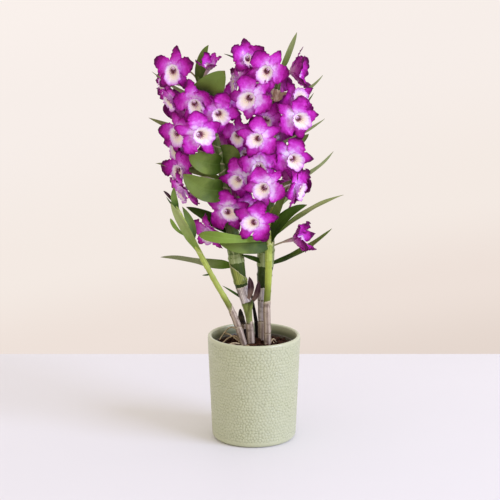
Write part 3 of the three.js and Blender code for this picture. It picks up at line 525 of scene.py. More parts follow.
class Piece:
    """Collects closed surfaces and makes them one object that rides on the body."""

    def __init__(self, name):
        self.name = name
        self.points, self.faces, self.uvs, self.numbers, self.relief = [], [], [], [], []
        self.materials = []
        self.total = 0

    def number(self, finish):
        """The slot that a finish has on this piece."""
        material = FINISH[finish]
        if material not in self.materials:
            self.materials.append(material)
        return self.materials.index(material)

    def add(self, points, groups, relief=None):
        """groups holds (faces, corner uvs, slot of each face); the faces are turned to look out."""
        volume = 0.0
        for faces, _, _ in groups:
            for k in range(1, faces.shape[1] - 1):
                a, b, c = points[faces[:, 0]], points[faces[:, k]], points[faces[:, k + 1]]
                volume += float((a * np.cross(b, c)).sum())
        for faces, uvs, numbers in groups:
            if volume < 0:
                faces, uvs = faces[:, ::-1], uvs[:, ::-1]
            self.faces.append(faces + self.total)
            self.uvs.append(uvs)
            self.numbers.append(numbers)
        self.points.append(points)
        self.relief.append(np.zeros(len(points)) if relief is None else relief)
        self.total += len(points)

    @staticmethod
    def skin(rows, cols, u, v, wrap):
        """Quads and uvs over a net of rows that close on themselves; wrap joins the last row to the first."""
        i, j = np.meshgrid(np.arange(rows if wrap else rows - 1), np.arange(cols), indexing="ij")
        below, after = (i + 1) % rows, (j + 1) % cols
        quads = np.stack([i * cols + j, i * cols + after, below * cols + after, below * cols + j], -1)
        corners = [(j, i), (j + 1, i), (j + 1, i + 1), (j, i + 1)]
        uvs = np.stack([np.stack([u[a], v[b]], -1) for a, b in corners], 2)
        return quads.reshape(-1, 4), uvs.reshape(-1, 4, 2)

    def tube(self, rings, finish, u=None, v=None, relief=None):
        """A closed solid through rings of points (rows, columns, 3) with its ends capped.

        finish is a name, or names for the faces of each column, or a list of such lists for each row.
        """
        rows, cols = rings.shape[:2]
        u = np.linspace(0, 1, cols + 1) if u is None else u
        v = np.linspace(0, 1, rows) if v is None else v
        quads, uvs = self.skin(rows, cols, u, v, wrap=False)
        slots = np.vectorize(self.number)(np.array(finish))
        numbers = np.broadcast_to(slots, (rows - 1, cols))
        groups = [(quads, uvs, numbers.reshape(-1))]
        points = [rings.reshape(-1, 3)]
        level = np.zeros(rows * cols) if relief is None else relief.reshape(-1)
        k = np.arange(cols)
        for row, hub in ((0, rows * cols), (rows - 1, rows * cols + 1)):
            here, there = row * cols + k, row * cols + (k + 1) % cols
            fan = np.stack([np.full(cols, hub), *((there, here) if row == 0 else (here, there))], -1)
            points.append(rings[row].mean(0, keepdims=True))
            spot = np.stack([u[:-1], np.full(cols, v[row])], -1)
            groups.append((fan, np.stack([spot] * 3, 1), numbers[min(row, rows - 2)]))
        self.add(np.concatenate(points), groups, np.concatenate([level, [0.0, 0.0]]))

    def ring_solid(self, rows, finish, v, relief):
        """A solid whose rows of points close on themselves both ways, such as a sleeve."""
        count, cols = rows.shape[:2]
        quads, uvs = self.skin(count, cols, np.linspace(0, 1, cols + 1), v, wrap=True)
        groups = [(quads, uvs, np.full(len(quads), self.number(finish)))]
        self.add(rows.reshape(-1, 3), groups, np.repeat(relief, cols))

    def solid(self, points, faces, finish):
        """A closed solid from points and faces of one kind, its uvs laid on from above."""
        corners = points[faces][:, :, :2] * SOLID_UV
        self.add(points, [(faces, corners, np.full(len(faces), self.number(finish)))])

    def make(self, *nodes, slot):
        """Makes the object, which rides on the body and stands for the nodes."""
        points = np.concatenate(self.points) * MM
        corners = np.concatenate([np.full(len(f), f.shape[1]) for f in self.faces])
        starts = np.concatenate([[0], np.cumsum(corners)[:-1]])
        mesh = bpy.data.meshes.new(self.name)
        mesh.vertices.add(len(points))
        mesh.vertices.foreach_set("co", points.astype(np.float32).ravel())
        mesh.loops.add(int(corners.sum()))
        indices = np.concatenate([f.ravel() for f in self.faces])
        mesh.loops.foreach_set("vertex_index", indices.astype(np.int32))
        mesh.polygons.add(len(corners))
        mesh.polygons.foreach_set("loop_start", starts.astype(np.int32))
        mesh.polygons.foreach_set("material_index", np.concatenate(self.numbers).astype(np.int32))
        layer = mesh.uv_layers.new(name="Surface")
        layer.data.foreach_set("uv", np.concatenate([c.reshape(-1) for c in self.uvs]).astype(np.float32))
        level = mesh.attributes.new("relief", "FLOAT", "POINT")
        level.data.foreach_set("value", np.concatenate(self.relief).astype(np.float32))
        mesh.update(calc_edges=True)
        mesh.validate()
        mesh.shade_smooth()
        for material in self.materials:
            mesh.materials.append(material)
        made = show(self.name, mesh)
        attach(made, "root")
        if nodes:
            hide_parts(*nodes)


def ring_points(centres, sides, fronts, radii, angles):
    """Rings of points round a line; radii may differ from row to row and round the ring."""
    radii = np.broadcast_to(np.asarray(radii, float).reshape(len(centres), -1), (len(centres), len(angles)))
    a = angles[None, :, None]
    return centres[:, None] + radii[..., None] * (np.cos(a) * sides[:, None] + np.sin(a) * fronts[:, None])


def add_blade(piece, spine, halves, lift, thick, finishes, v, depth=0.0):
    """A thin blade along a spine of points, sides and normals, given half its width at each point.

    lift and thick are functions of the place across, -1 to 1, and the row. finishes names its face and back.
    """
    centres, sides, normals = spine
    across = np.sin(np.linspace(-1, 1, BLADE_COLUMNS) * math.pi / 2)
    s, i = np.meshgrid(across, np.arange(len(centres)))
    middle = centres[i] + sides[i] * (halves[i] * s)[..., None] + normals[i] * lift(s, i)[..., None]
    half_thick = (thick(s, i) / 2)[..., None] * normals[i]
    front, back = middle + half_thick, middle - half_thick
    rings = np.concatenate([front, back[:, -2:0:-1]], axis=1)
    out = (across + 1) / 2
    u = np.concatenate([out, out[-2::-1]])
    names = np.repeat(finishes, BLADE_COLUMNS - 1)
    piece.tube(rings, names, u=u, v=v, relief=np.full(rings.shape[:2], depth))


# ---- materials ----


class Graph:
    """The node tree of a material or of the world, and short ways to add to it."""

    def __init__(self, name, kind="materials", shader="Principled BSDF", **sockets):
        self.owner = getattr(bpy.data, kind).new(name)
        self.owner.use_nodes = True
        self.tree = self.owner.node_tree
        self.shader = self.tree.nodes[shader]
        for key, value in sockets.items():
            self.shader.inputs[key.replace("_", " ")].default_value = value

    def node(self, kind, inputs=(), **settings):
        made = self.tree.nodes.new("ShaderNode" + kind)
        for key, value in settings.items():
            setattr(made, key, value)
        for key, value in dict(inputs).items():
            if isinstance(value, bpy.types.NodeSocket):
                self.tree.links.new(value, made.inputs[key])
            elif value is not None:
                made.inputs[key].default_value = value
        return made

    def math(self, operation, a, b=None, c=None):
        return self.node("Math", {0: a, 1: b, 2: c}, operation=operation).outputs[0]

    def times(self, *factors):
        made = factors[0]
        for factor in factors[1:]:
            made = self.math("MULTIPLY", made, factor)
        return made

    def relief(self):
        return self.node("Attribute", attribute_name="relief").outputs["Fac"]

    def uv(self):
        split = self.node("SeparateXYZ", {0: self.node("UVMap", uv_map="Surface").outputs[0]})
        return split.outputs[0], split.outputs[1]

    def place(self, scale=(1, 1, 1)):
        """The piece's own coordinates, in metres, stretched by scale."""
        at = self.node("TexCoord").outputs["Object"]
        return self.node("Mapping", {"Vector": at, "Scale": scale}).outputs[0]

    def height(self):
        """Height above the pot's foot, in millimetres."""
        at = self.node("SeparateXYZ", {0: self.node("TexCoord").outputs["Object"]}).outputs[2]
        return self.math("MULTIPLY", at, 1 / MM)

    def noise(self, scale, vector=None, detail=3.0, roughness=0.55):
        vector = self.place() if vector is None else vector
        inputs = {"Vector": vector, "Scale": scale, "Detail": detail, "Roughness": roughness}
        return self.node("TexNoise", inputs).outputs["Fac"]

    def span(self, value, low, high, to_low=0.0, to_high=1.0):
        inputs = {"Value": value, "From Min": low, "From Max": high, "To Min": to_low, "To Max": to_high}
        return self.node("MapRange", inputs).outputs[0]

    def rays(self, u, count, power):
        """Thin lines along a surface, count of them across it."""
        wave = self.math("ABSOLUTE", self.math("SINE", self.math("MULTIPLY", u, count * math.pi)))
        return self.math("POWER", wave, power)

    def streaks(self, fine=26.0, along=0.9):
        """Noise drawn out along a stem: u runs round it and v up it."""
        u, v = self.uv()
        vector = self.node("CombineXYZ", {0: self.times(u, fine), 1: self.times(v, along)}).outputs[0]
        return self.noise(1.0, vector, detail=4.0, roughness=0.65)

    def mix(self, factor, first, second, blend="MIX"):
        first, second = (shade(*c) if isinstance(c, tuple) else c for c in (first, second))
        made = self.node("Mix", {0: factor, 6: first, 7: second}, data_type="RGBA", blend_type=blend)
        return made.outputs[2]

    def ramp(self, value, stops, interpolation="EASE"):
        made = self.node("ValToRGB", {0: value})
        scale = made.color_ramp
        scale.interpolation = interpolation
        for _ in stops[2:]:
            scale.elements.new(0.5)
        for element, (position, colour) in zip(scale.elements, stops):
            element.position = position
            element.color = shade(*colour)
        return made.outputs[0]

    def bump(self, height, distance):
        return self.node("Bump", {"Height": height, "Distance": distance * MM}).outputs[0]

    def finish(self, colour, roughness=None, normal=None):
        wanted = {"Base Color": colour, "Roughness": roughness, "Normal": normal}
        for key, value in wanted.items():
            if value is not None:
                self.tree.links.new(value, self.shader.inputs[key])
        return self.owner


def glaze_material():
    """relief is 0 in the grooves, 1 on the crowns and -1 inside the pot, which is painted darker as shade."""
    g = Graph("glaze", Coat_Weight=0.8, Coat_Roughness=0.19, Specular_IOR_Level=0.4)
    level = g.relief()
    drift = g.noise(22.0, detail=4.0)
    pooled = g.mix(g.span(level, 0.0, 0.8), (152, 156, 116), (185, 188, 151))
    thin = g.mix(g.span(drift, 0.35, 0.75, 0.0, 0.5), pooled, (186, 189, 158))
    dots = g.node("TexVoronoi", {"Vector": g.place(), "Scale": 520.0}, feature="F1").outputs["Distance"]
    dotted = g.mix(g.span(dots, 0.0, 0.07, 0.3, 0.0), thin, (136, 138, 102))
    # painted shade: the pot's inside gets a darker colour than its outside
    colour = g.mix(g.span(level, -1.0, 0.0), (116, 120, 90), dotted)
    return g.finish(colour, g.span(drift, 0.3, 0.7, 0.44, 0.54), g.bump(g.noise(900.0, detail=2.0), 0.05))


def grainy_material(name, dark, light, scale, rough, bump, patch=None, stretch=1, **sockets):
    """A material of two colours mixed by noise, with the noise as its bump, and rarer patches of a third."""
    g = Graph(name, **sockets)
    grain = g.noise(scale, g.place((1, 1, stretch)), detail=5.0, roughness=0.65)
    colour = g.mix(g.span(grain, 0.3, 0.7), dark, light)
    if patch:
        colour = g.mix(g.span(g.noise(55.0, detail=2.0), 0.55, 0.75), colour, patch)
    return g.finish(colour, g.span(grain, 0.2, 0.8, rough + 0.1, rough - 0.1), g.bump(grain, bump))


def stem_material(name, bands, rough):
    """bands are (height, colour) pairs up the stem; between them the colours run together."""
    g = Graph(name, Specular_IOR_Level=0.22)
    low, high = bands[0][0], bands[-1][0]
    ragged = g.math("ADD", g.height(), g.span(g.streaks(14.0, 0.2), 0.0, 1.0, -2.5, 2.5))
    base = g.ramp(g.span(ragged, low, high), [((z - low) / (high - low), c) for z, c in bands], "LINEAR")
    line = g.streaks()
    darker = g.mix(0.5, base, (50, 52, 22), "MULTIPLY")
    mottled = g.mix(g.span(g.noise(120.0), 0.5, 0.75, 0.0, 0.4), base, darker)
    colour = g.mix(g.span(line, 0.35, 0.62, 0.75, 0.0), mottled, darker)
    return g.finish(colour, g.span(line, 0.2, 0.8, rough + 0.12, rough), g.bump(line, 0.3))


def sheath_material(name, pale, dark, line_colour, lined, rough):
    """Streaked up the stem and blotched, with a dry pale rim where relief nears 1."""
    g = Graph(name, Specular_IOR_Level=0.3)
    line = g.streaks(30.0, 0.35)
    ground = g.mix(g.span(g.streaks(12.0, 0.4), 0.42, 0.58), dark, pale)
    blotched = g.mix(g.span(g.noise(110.0), 0.52, 0.66, 0.0, 0.6), ground, line_colour)
    lines = g.mix(g.span(line, 0.42, 0.56, lined, 0.0), blotched, line_colour)
    rim = g.relief()
    colour = g.mix(g.span(rim, 0.9, 1.0, 0.0, 0.6), lines, (206, 192, 160))
    return g.finish(colour, g.span(line, 0.2, 0.8, rough + 0.1, rough - 0.1), g.bump(line, 0.3))


def leaf_material(name, foot, tip, rough):
    """Mottled from one colour at the foot to another at the tip, with fine veins and a dry point."""
    g = Graph(name, Specular_IOR_Level=0.16)
    u, v = g.uv()
    vein = g.rays(u, 15, 5.0)
    midrib = g.span(g.math("ABSOLUTE", g.math("SUBTRACT", u, 0.5)), 0.0, 0.03, 0.2, 0.0)
    patch = g.noise(34.0, detail=4.0)
    along = g.math("ADD", v, g.span(patch, 0.3, 0.7, -0.16, 0.16))
    ground = g.mix(g.span(along, 0.15, 0.6), foot, tip)
    mottled = g.mix(g.span(patch, 0.35, 0.7, 0.5, 0.0), ground, g.mix(0.6, ground, (70, 84, 30), "MULTIPLY"))
    veined = g.mix(g.times(vein, 0.14), mottled, (46, 62, 18))
    ribbed = g.mix(midrib, veined, tuple(min(c + 50, 255) for c in foot))
    tipped = g.mix(g.span(v, 0.94, 1.0, 0.0, 0.6), ribbed, (104, 84, 48))
    height = g.math("ADD", g.times(vein, 0.4), g.noise(420.0, detail=3.0))
    return g.finish(tipped, g.span(patch, 0.3, 0.7, rough, rough + 0.1), g.bump(height, 0.12))


def petal_material(name, stops, vein_colour, rough):
    """Pale at the foot, deepening to edge and tip, with darker veins; relief holds the bloom's own tone plus
    painted shade.
    """
    g = Graph(name, Specular_IOR_Level=0.14, Subsurface_Weight=0.1, Subsurface_Radius=(1.0, 0.35, 0.9),
              Subsurface_Scale=0.0014)
    u, v = g.uv()
    across = g.math("ABSOLUTE", g.math("SUBTRACT", g.times(u, 2.0), 1.0))
    edge = g.times(g.math("POWER", across, 4.0), 0.32)
    drift = g.span(g.noise(80.0, detail=5.0, roughness=0.65), 0.25, 0.75, -0.24, 0.24)
    # relief: each bloom's and tepal's tone, plus painted shade on the blooms at the back
    depth = g.relief()
    place = g.math("ADD", g.math("ADD", g.math("ADD", v, edge), drift), depth)
    ground = g.ramp(place, stops)
    vein = g.times(g.rays(u, 17, 6.0), g.span(v, 0.05, 0.45, 0.12, 0.42))
    colour = g.mix(vein, ground, vein_colour)
    height = g.math("ADD", g.times(vein, -0.6), g.noise(170.0, detail=3.0))
    return g.finish(colour, g.span(drift, -0.24, 0.24, rough, rough + 0.12), g.bump(height, 0.5))


def lip_material():
    """v runs from the throat's depth to the mouth's edge, and u round it from its lowest point."""
    g = Graph("lip_face", Specular_IOR_Level=0.3, Subsurface_Weight=0.12, Subsurface_Radius=(1.0, 0.8, 0.7),
              Subsurface_Scale=0.0014)
    u, v = g.uv()
    place = g.math("ADD", v, g.span(g.noise(330.0, detail=3.0), 0.25, 0.75, -0.05, 0.05))
    ground = g.ramp(place, LIP_STOPS)
    low = g.math("MULTIPLY_ADD", g.math("COSINE", g.times(u, 2 * math.pi)), 0.5, 0.5)
    belly = g.times(g.math("POWER", low, 2.0), g.span(place, 0.8, 0.35), g.span(place, 0.1, 0.18))
    cream = g.mix(g.times(belly, 0.6), ground, (238, 214, 172))
    mottled = g.mix(g.span(g.noise(240.0, detail=3.0), 0.5, 0.66, 0.0, 0.5), cream, (226, 182, 230))
    streak = g.times(g.rays(u, 13, 3.0), g.span(place, 0.3, 0.12, 0.0, 0.7))
    lined = g.mix(streak, mottled, (112, 34, 58))
    ray = g.times(g.rays(u, 22, 8.0), g.span(place, 0.5, 0.95, 0.0, 0.25))
    colour = g.mix(ray, lined, (196, 110, 196))
    height = g.math("ADD", g.times(ray, -2.0), g.noise(700.0, detail=3.0))
    return g.finish(colour, g.span(place, 0.0, 1.0, 0.4, 0.6), g.bump(height, 0.2))


def stalk_material():
    g = Graph("flower_stalk", Specular_IOR_Level=0.35)
    line = g.streaks(12.0, 2.0)
    colour = g.mix(g.span(line, 0.35, 0.65, 0.35, 0.0), g.ramp(g.uv()[1], STALK_STOPS), (140, 104, 96))
    return g.finish(colour, None, g.bump(line, 0.12))


# Colours of the flower's parts: of tepals from foot to edge, of the lip from the throat's depth to its mouth,
# and of the stalk from the flower down.
PETAL_STOPS = [(0.0, (250, 232, 254)), (0.14, (244, 206, 248)), (0.28, (230, 142, 232)),
               (0.42, (216, 84, 208)), (0.62, (194, 40, 176)), (0.82, (154, 6, 128)), (1.0, (84, 2, 60))]
REVERSE_STOPS = [(0.0, (208, 174, 190)), (0.25, (202, 132, 190)), (0.5, (192, 76, 176)),
                 (0.8, (160, 24, 142)), (1.0, (96, 2, 76))]
LIP_STOPS = [(0.0, (74, 12, 34)), (0.05, (130, 56, 68)), (0.11, (208, 172, 164)), (0.2, (234, 218, 208)),
             (0.42, (240, 230, 228)), (0.68, (238, 222, 236)), (0.82, (228, 184, 232)),
             (1.0, (206, 100, 206))]
STALK_STOPS = [(0.0, (206, 160, 192)), (0.2, (196, 174, 160)), (0.5, (184, 182, 132)), (1.0, (146, 156, 88))]
# Of each sheath: its pale and dark ground, the colour and the strength of its lines, and its roughness.
SHEATH_LOOKS = {
    "paper": ((236, 226, 216), (178, 164, 158), (104, 86, 88), 0.75, 0.7),
    "straw": ((212, 196, 174), (150, 130, 112), (84, 62, 52), 0.65, 0.7),
    "olive": ((160, 166, 76), (100, 112, 42), (72, 84, 28), 0.6, 0.5),
    "sage": ((172, 182, 130), (134, 148, 88), (100, 116, 56), 0.45, 0.5),
    "moss": ((110, 128, 66), (82, 100, 42), (62, 80, 30), 0.4, 0.5),
    "lime": ((196, 208, 104), (160, 176, 72), (122, 140, 50), 0.45, 0.45),
    "khaki": ((236, 214, 176), (212, 184, 148), (150, 116, 92), 0.6, 0.7),
}
FINISH = {
    "glaze": glaze_material(),
    "liner": grainy_material("nursery_plastic", (84, 78, 66), (112, 106, 90), 60, 0.4, 0.05,
                             Specular_IOR_Level=0.5),
    "bark": grainy_material("bark", (16, 9, 5), (74, 42, 26), 140, 0.85, 0.6, patch=(106, 66, 38), stretch=4,
                            Specular_IOR_Level=0.1),
    "root": grainy_material("root", (136, 114, 82), (204, 184, 146), 260, 0.75, 0.25, Specular_IOR_Level=0.3),
    "lip_out": grainy_material("lip_reverse", (196, 132, 200), (228, 196, 230), 300, 0.55, 0.1),
    "column": grainy_material("column", (214, 170, 206), (242, 224, 238), 300, 0.45, 0.1),
    "anther": grainy_material("anther_cap", (120, 44, 86), (196, 140, 176), 420, 0.5, 0.1),
    "petal": petal_material("petal_face", PETAL_STOPS, (150, 6, 150), 0.5),
    "petal_back": petal_material("petal_reverse", REVERSE_STOPS, (118, 20, 112), 0.58),
    "lip": lip_material(),
    "stalk": stalk_material(),
}
for name, look in SHEATH_LOOKS.items():
    FINISH[name + "_sheath"] = sheath_material("sheath_" + name, *look)
for tint, (foot, tip, under) in LEAF_TINTS.items():
    FINISH[tint] = leaf_material("leaf_" + tint, foot, tip, 0.42)
    FINISH[tint + "_under"] = leaf_material("leaf_" + tint + "_under", under, under, 0.6)
for name, cane in CANES.items():
    FINISH[name] = stem_material(name + "_skin", cane["bands"], cane["rough"])


# ---- stage: camera, table and light ----


def make_camera():
    data = bpy.data.cameras.new("camera")
    data.sensor_width = SENSOR
    data.lens = FOCAL_PIXELS * SENSOR / PHOTO_SIDE
    data.clip_end = SEEN_FAR
    camera = show("camera", data)
    camera.location = Vector(CAMERA_AT) * MM
    camera.rotation_euler = (math.radians(90 - CAMERA_PITCH), 0, 0)
    bpy.context.scene.camera = camera
    bpy.context.scene.view_settings.view_transform = "Standard"
    bpy.context.scene.view_settings.look = "None"


def make_table():
    far, wide = TABLE_BACK * MM, TABLE_HALF * MM
    corners = [(-wide, -wide, 0), (wide, -wide, 0), (wide, far, 0), (-wide, far, 0)]
    mesh = bpy.data.meshes.new("table")
    mesh.from_pydata(corners, [], [(0, 1, 2, 3)])
    table = show("table", mesh)
    g = Graph("table_top", Roughness=0.6, Specular_IOR_Level=0.2)
    mesh.materials.append(g.finish(g.mix(g.noise(3.0, detail=2.0), (222, 220, 219), (226, 224, 223))))


def make_wall():
    """The world is a warm wall that darkens towards the floor as painted shade, and a little towards the
    right.
    """
    g = Graph("wall", "worlds", "Background")
    way = g.node("SeparateXYZ", {0: g.node("TexCoord").outputs["Generated"]})
    # painted shade: the wall darkens towards the floor
    rise = g.span(way.outputs[2], -0.29, 0.1)
    left = g.span(way.outputs[0], -0.2, 0.2, 0.12, -0.06)
    stops = [(0.0, (229, 215, 206)), (0.12, (238, 225, 217)), (0.25, (244, 234, 227)), (0.5, (247, 238, 233)),
             (0.7, (250, 241, 236)), (1.0, (251, 243, 238))]
    g.tree.links.new(g.ramp(g.math("ADD", rise, left), stops), g.shader.inputs["Color"])
    bpy.context.scene.world = g.owner


def make_window():
    """One large cool window on the right."""
    data = bpy.data.lights.new("window", "AREA")
    data.shape = "SQUARE"
    data.size = WINDOW_SIDE
    data.energy = WINDOW_WATTS
    data.color = WINDOW_COLOUR
    lamp = show("window", data)
    lamp.location = WINDOW_AT
    lamp.rotation_euler = (Vector(WINDOW_AIM) - lamp.location).to_track_quat("-Z", "Y").to_euler()


# ---- pot, nursery pot and medium ----


def pebbles(angle, height, radius, random):
    """Height of the relief, 0 in the grooves to 1 on the crowns, from a jittered net of cells."""
    per_row = int(round(2 * math.pi * radius / PEBBLE))
    rows = int(POT_HEIGHT / PEBBLE_ROW) + 3
    shift = random.uniform(-PEBBLE_JITTER, PEBBLE_JITTER, (rows, per_row, 2))
    across = angle / (2 * math.pi) * per_row
    row = height / PEBBLE_ROW
    nearest = np.full(angle.shape, np.inf)
    second = np.full(angle.shape, np.inf)
    for up in range(-2, 3):
        r = np.clip(np.floor(row).astype(int) + up, 0, rows - 1)
        stagger = 0.5 * (r % 2)
        for over in range(-2, 3):
            c = np.floor(across - stagger).astype(int) + over
            jitter = shift[r, c % per_row]
            dx = (c + stagger + 0.5 + jitter[..., 0] - across) * PEBBLE
            dz = (r + 0.5 + jitter[..., 1] - row) * PEBBLE_ROW
            far = np.hypot(dx, dz)
            second = np.minimum(second, np.maximum(nearest, far))
            nearest = np.minimum(nearest, far)
    groove = np.clip((second - nearest) / GROOVE, 0, 1)
    return 1 - (1 - groove) ** 2


def lathe_rows(profile, angles, push=0.0):
    """Rings of a profile's (radius, height) points turned round the upright axis and pushed outwards."""
    radius, height = (np.array(c, float)[:, None] for c in zip(*profile))
    radius = np.broadcast_to(radius + push, (len(profile), len(angles)))
    height = np.broadcast_to(height, radius.shape)
    return np.stack([radius * np.cos(angles), radius * np.sin(angles), height], -1)


def arc(centre, radius, start, end, count):
    """Points of an arc in a profile, from one angle to another, in degrees."""
    turns = np.radians(np.linspace(start, end, count))
    return [(centre[0] + radius * math.cos(t), centre[1] + radius * math.sin(t)) for t in turns]


def straight(first, last, shares):
    """Points of a straight stretch of a profile, at shares of the way."""
    return [(first[0] + (last[0] - first[0]) * t, first[1] + (last[1] - first[1]) * t) for t in shares]


def make_pot():
    """The cover pot, from a profile that goes up its pebbled outside, over the rim and down its inside."""
    random = np.random.default_rng(SEED)
    angles = round_angles(POT_FACETS)
    rim_round = POT_WALL / 2
    top = POT_HEIGHT - rim_round
    side = straight((FOOT_RADIUS, FOOT_ROUND), (RIM_RADIUS, top), np.linspace(0, 1, WALL_ROWS))
    foot = arc((FOOT_RADIUS - FOOT_ROUND, FOOT_ROUND), FOOT_ROUND, -90, 0, 8)[:-1]
    rim = arc((RIM_RADIUS - rim_round, top), rim_round, 0, 180, 13)[1:]
    inner_foot, inner_rim = FOOT_RADIUS - POT_WALL, RIM_RADIUS - POT_WALL
    cove_at = (inner_foot - COVE, POT_FLOOR + COVE)
    inside = straight((inner_rim, top), (inner_foot, cove_at[1]), np.linspace(0.06, 1, 14))
    cove = arc(cove_at, COVE, 0, -90, 5)[1:]
    under = (FOOT_RADIUS - 2 * FOOT_ROUND, 0.0)
    profile = [under, *foot, *side, *rim, *inside, *cove, (POT_HUB, POT_FLOOR)]
    angle, height = np.meshgrid(angles, [z for _, z in profile])
    level = pebbles(angle, height, RIM_RADIUS, random)
    rows = np.arange(len(profile))[:, None]
    first = 1 + len(foot)
    on_side = (rows >= first) & (rows < first + WALL_ROWS)
    fade = ease(*PLAIN_FOOT, height) * ease(*(POT_HEIGHT - depth for depth in PLAIN_RIM), height)
    push = np.where(on_side, fade * PEBBLE_DEPTH * (level - PEBBLE_MEAN), 0.0)
    # -1 marks the inside rows, which the glaze paints darker as shade
    inner = rows >= first + WALL_ROWS + len(rim)
    shown = np.where(on_side, 1 - fade + fade * level, np.where(inner, -1.0, 1.0))
    piece = Piece("glazed_pot")
    v = np.array([z for _, z in profile]) / POT_HEIGHT
    piece.tube(lathe_rows(profile, angles, push), "glaze", v=v, relief=shown)
    piece.make("pot", slot="pot_glaze")


def make_liner():
    """The grow pot: a thin wall with a thicker band round its rim."""
    lip, inner_lip, corner, band = 0.8, 0.6, 2, 3
    body = LINER_RIM - 2 * lip
    inner_foot = LINER_FOOT_RADIUS - LINER_WALL
    profile = [
        (LINER_HUB, LINER_FOOT), (LINER_FOOT_RADIUS - 3, LINER_FOOT),
        *arc((LINER_FOOT_RADIUS - corner, LINER_FOOT + corner), corner, -60, 0, 4),
        (body - 0.2, LINER_TOP - band - 0.4), (body + 0.2, LINER_TOP - band),
        *arc((LINER_RIM - lip, LINER_TOP - band + lip), lip, -90, 0, 4),
        *arc((LINER_RIM - lip, LINER_TOP - lip), lip, 0, 90, 5),
        *arc((body - LINER_WALL + inner_lip, LINER_TOP - inner_lip), inner_lip, 90, 180, 4),
        (inner_foot, LINER_FOOT + LINER_WALL + 1), (LINER_HUB, LINER_FOOT + LINER_WALL),
    ]
    piece = Piece("grow_pot")
    piece.tube(lathe_rows(profile, round_angles(128)), "liner")
    piece.make("nursery_pot", slot="nursery_plastic")


def bark_level(radius):
    """Height of the bark's top at a distance from its middle."""
    return BARK_CROWN + (BARK_EDGE - BARK_CROWN) * radius / BARK_RADIUS


def add_chip(piece, random, centre, size, turn):
    """A bark chip: a block of three by two cells whose corners and middles are pulled about."""
    axes = [np.linspace(-1, 1, n + 1) for n in (3, 2, 1)]
    grid = np.stack(np.meshgrid(*axes, indexing="ij"), -1)
    rounded = grid * (1 - CHIP_PULL * (np.abs(grid).sum(-1, keepdims=True) - 1))
    local = (rounded + random.uniform(-CHIP_PULL, CHIP_PULL, grid.shape)) * (np.array(size) / 2)
    (ca, cb, cc), (sa, sb, sc) = np.cos(turn), np.sin(turn)
    about_x = np.array([[1, 0, 0], [0, ca, -sa], [0, sa, ca]])
    about_y = np.array([[cb, 0, sb], [0, 1, 0], [-sb, 0, cb]])
    about_z = np.array([[cc, -sc, 0], [sc, cc, 0], [0, 0, 1]])
    points = local.reshape(-1, 3) @ (about_z @ about_x @ about_y).T + centre
    number = np.arange(grid[..., 0].size).reshape(grid.shape[:3])
    faces = []
    for axis in range(3):
        for end in (0, -1):
            layer = np.take(number, end, axis=axis)
            around = [layer[:-1, :-1], layer[1:, :-1], layer[1:, 1:], layer[:-1, 1:]]
            quads = np.stack(around, -1).reshape(-1, 4)
            faces.append(quads[:, ::-1] if (end == 0) != (axis == 1) else quads)
    piece.solid(points, np.concatenate(faces), "bark")


def make_medium():
    """The bark mix: a body that fills the grow pot, chips spread over its top, and stray roots."""
    random = np.random.default_rng(SEED + 1)
    piece = Piece("bark_mix")
    low, bottom_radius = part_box("medium")[0].z / MM, LINER_FOOT_RADIUS - 2
    radii = BARK_RADIUS * np.linspace(1, 0.04, 12)
    top = [(radius, bark_level(radius) - BARK_SUNK) for radius in radii]
    rows = lathe_rows([(BARK_HUB, low), (bottom_radius, low), *top], round_angles(96))
    rows[2:, :, 2] += random.uniform(-0.8, 0.8, rows[2:, :, 2].shape)
    piece.tube(rows, "bark")
    feet = [on_cane(name, BARK_CROWN - 2)[:2] for name in CANES]
    golden = math.pi * (3 - math.sqrt(5))  # the turn that spreads the chips evenly
    for i in range(CHIPS):
        radius = (BARK_RADIUS - CHIP_EDGE) * math.sqrt((i + 0.5) / CHIPS)
        angle = i * golden + random.uniform(-0.3, 0.3)
        level = bark_level(radius) + random.uniform(-1.2, 0.9)
        at = vec(radius * math.cos(angle), radius * math.sin(angle), level)
        size = [random.uniform(*limits) for limits in CHIP_SIDES]
        turn = [random.uniform(*limits) for limits in CHIP_TURNS]
        if min(np.hypot(*(at[:2] - foot)) for foot in feet) > CHIP_CLEAR:
            add_chip(piece, random, at, size, turn)
    for _ in range(LOOSE_ROOTS):
        start, turn = random.uniform(*LOOSE_ROOT["start"], 2), random.uniform(0, 2 * math.pi)
        reach, rise = random.uniform(*LOOSE_ROOT["reach"]), random.uniform(*LOOSE_ROOT["rise"])
        ends = [start, start + reach * vec(math.cos(turn), math.sin(turn))]
        side = vec(-math.sin(turn), math.cos(turn)) * random.uniform(*LOOSE_ROOT["bow"])
        plan = [ends[0], (ends[0] + ends[1]) / 2 + side, ends[1]]
        lift = (-1.0, rise, -1.0)
        line = [(*at, bark_level(min(np.hypot(*at), BARK_RADIUS)) + up) for at, up in zip(plan, lift)]
        add_root(piece, line, random, thick=random.uniform(*LOOSE_ROOT["thick"]))
    piece.make("medium", slot="bark_mix")


# ---- stems, sheaths, leaves and roots ----

AROUND = 28  # facets round a stem
STEM_FOOT = 100  # height at which the stems start, inside the bark
STEM_STEP = 2.0  # height between their rings
STEM_TOP = (0.9, 0.7, 0.4)  # shares of the radius that the last rings keep
SWELL, SWELL_REACH = 0.09, 1.4  # how much a stem swells at a node ring, and how far above and below it
WAIST, WAIST_UP, WAIST_REACH = 0.05, 5, 4.5  # how much it is drawn in over the ring, how high up, how far
STREAK_HEIGHT = 100  # height of stem that one step of v stands for
SHEATH_LIFT = 0.35  # a sleeve's gap to its stem, and its thickness
KHAKI_LIFT = 1.2  # the loose khaki sleeve's gap
SHEATH_ROWS = 14
SHEATH_FLARE = 0.2  # how far its top edge stands out; its foot stands out half as far
SHEATH_TORN = 0.7  # how far its edges are torn up and down
LEAF_SHEATH = {"reach": 0.8, "slant": 3.5, "torn": 0.25}  # reach is a share of the distance between nodes
stem_angles = round_angles(AROUND, start=math.radians(270))


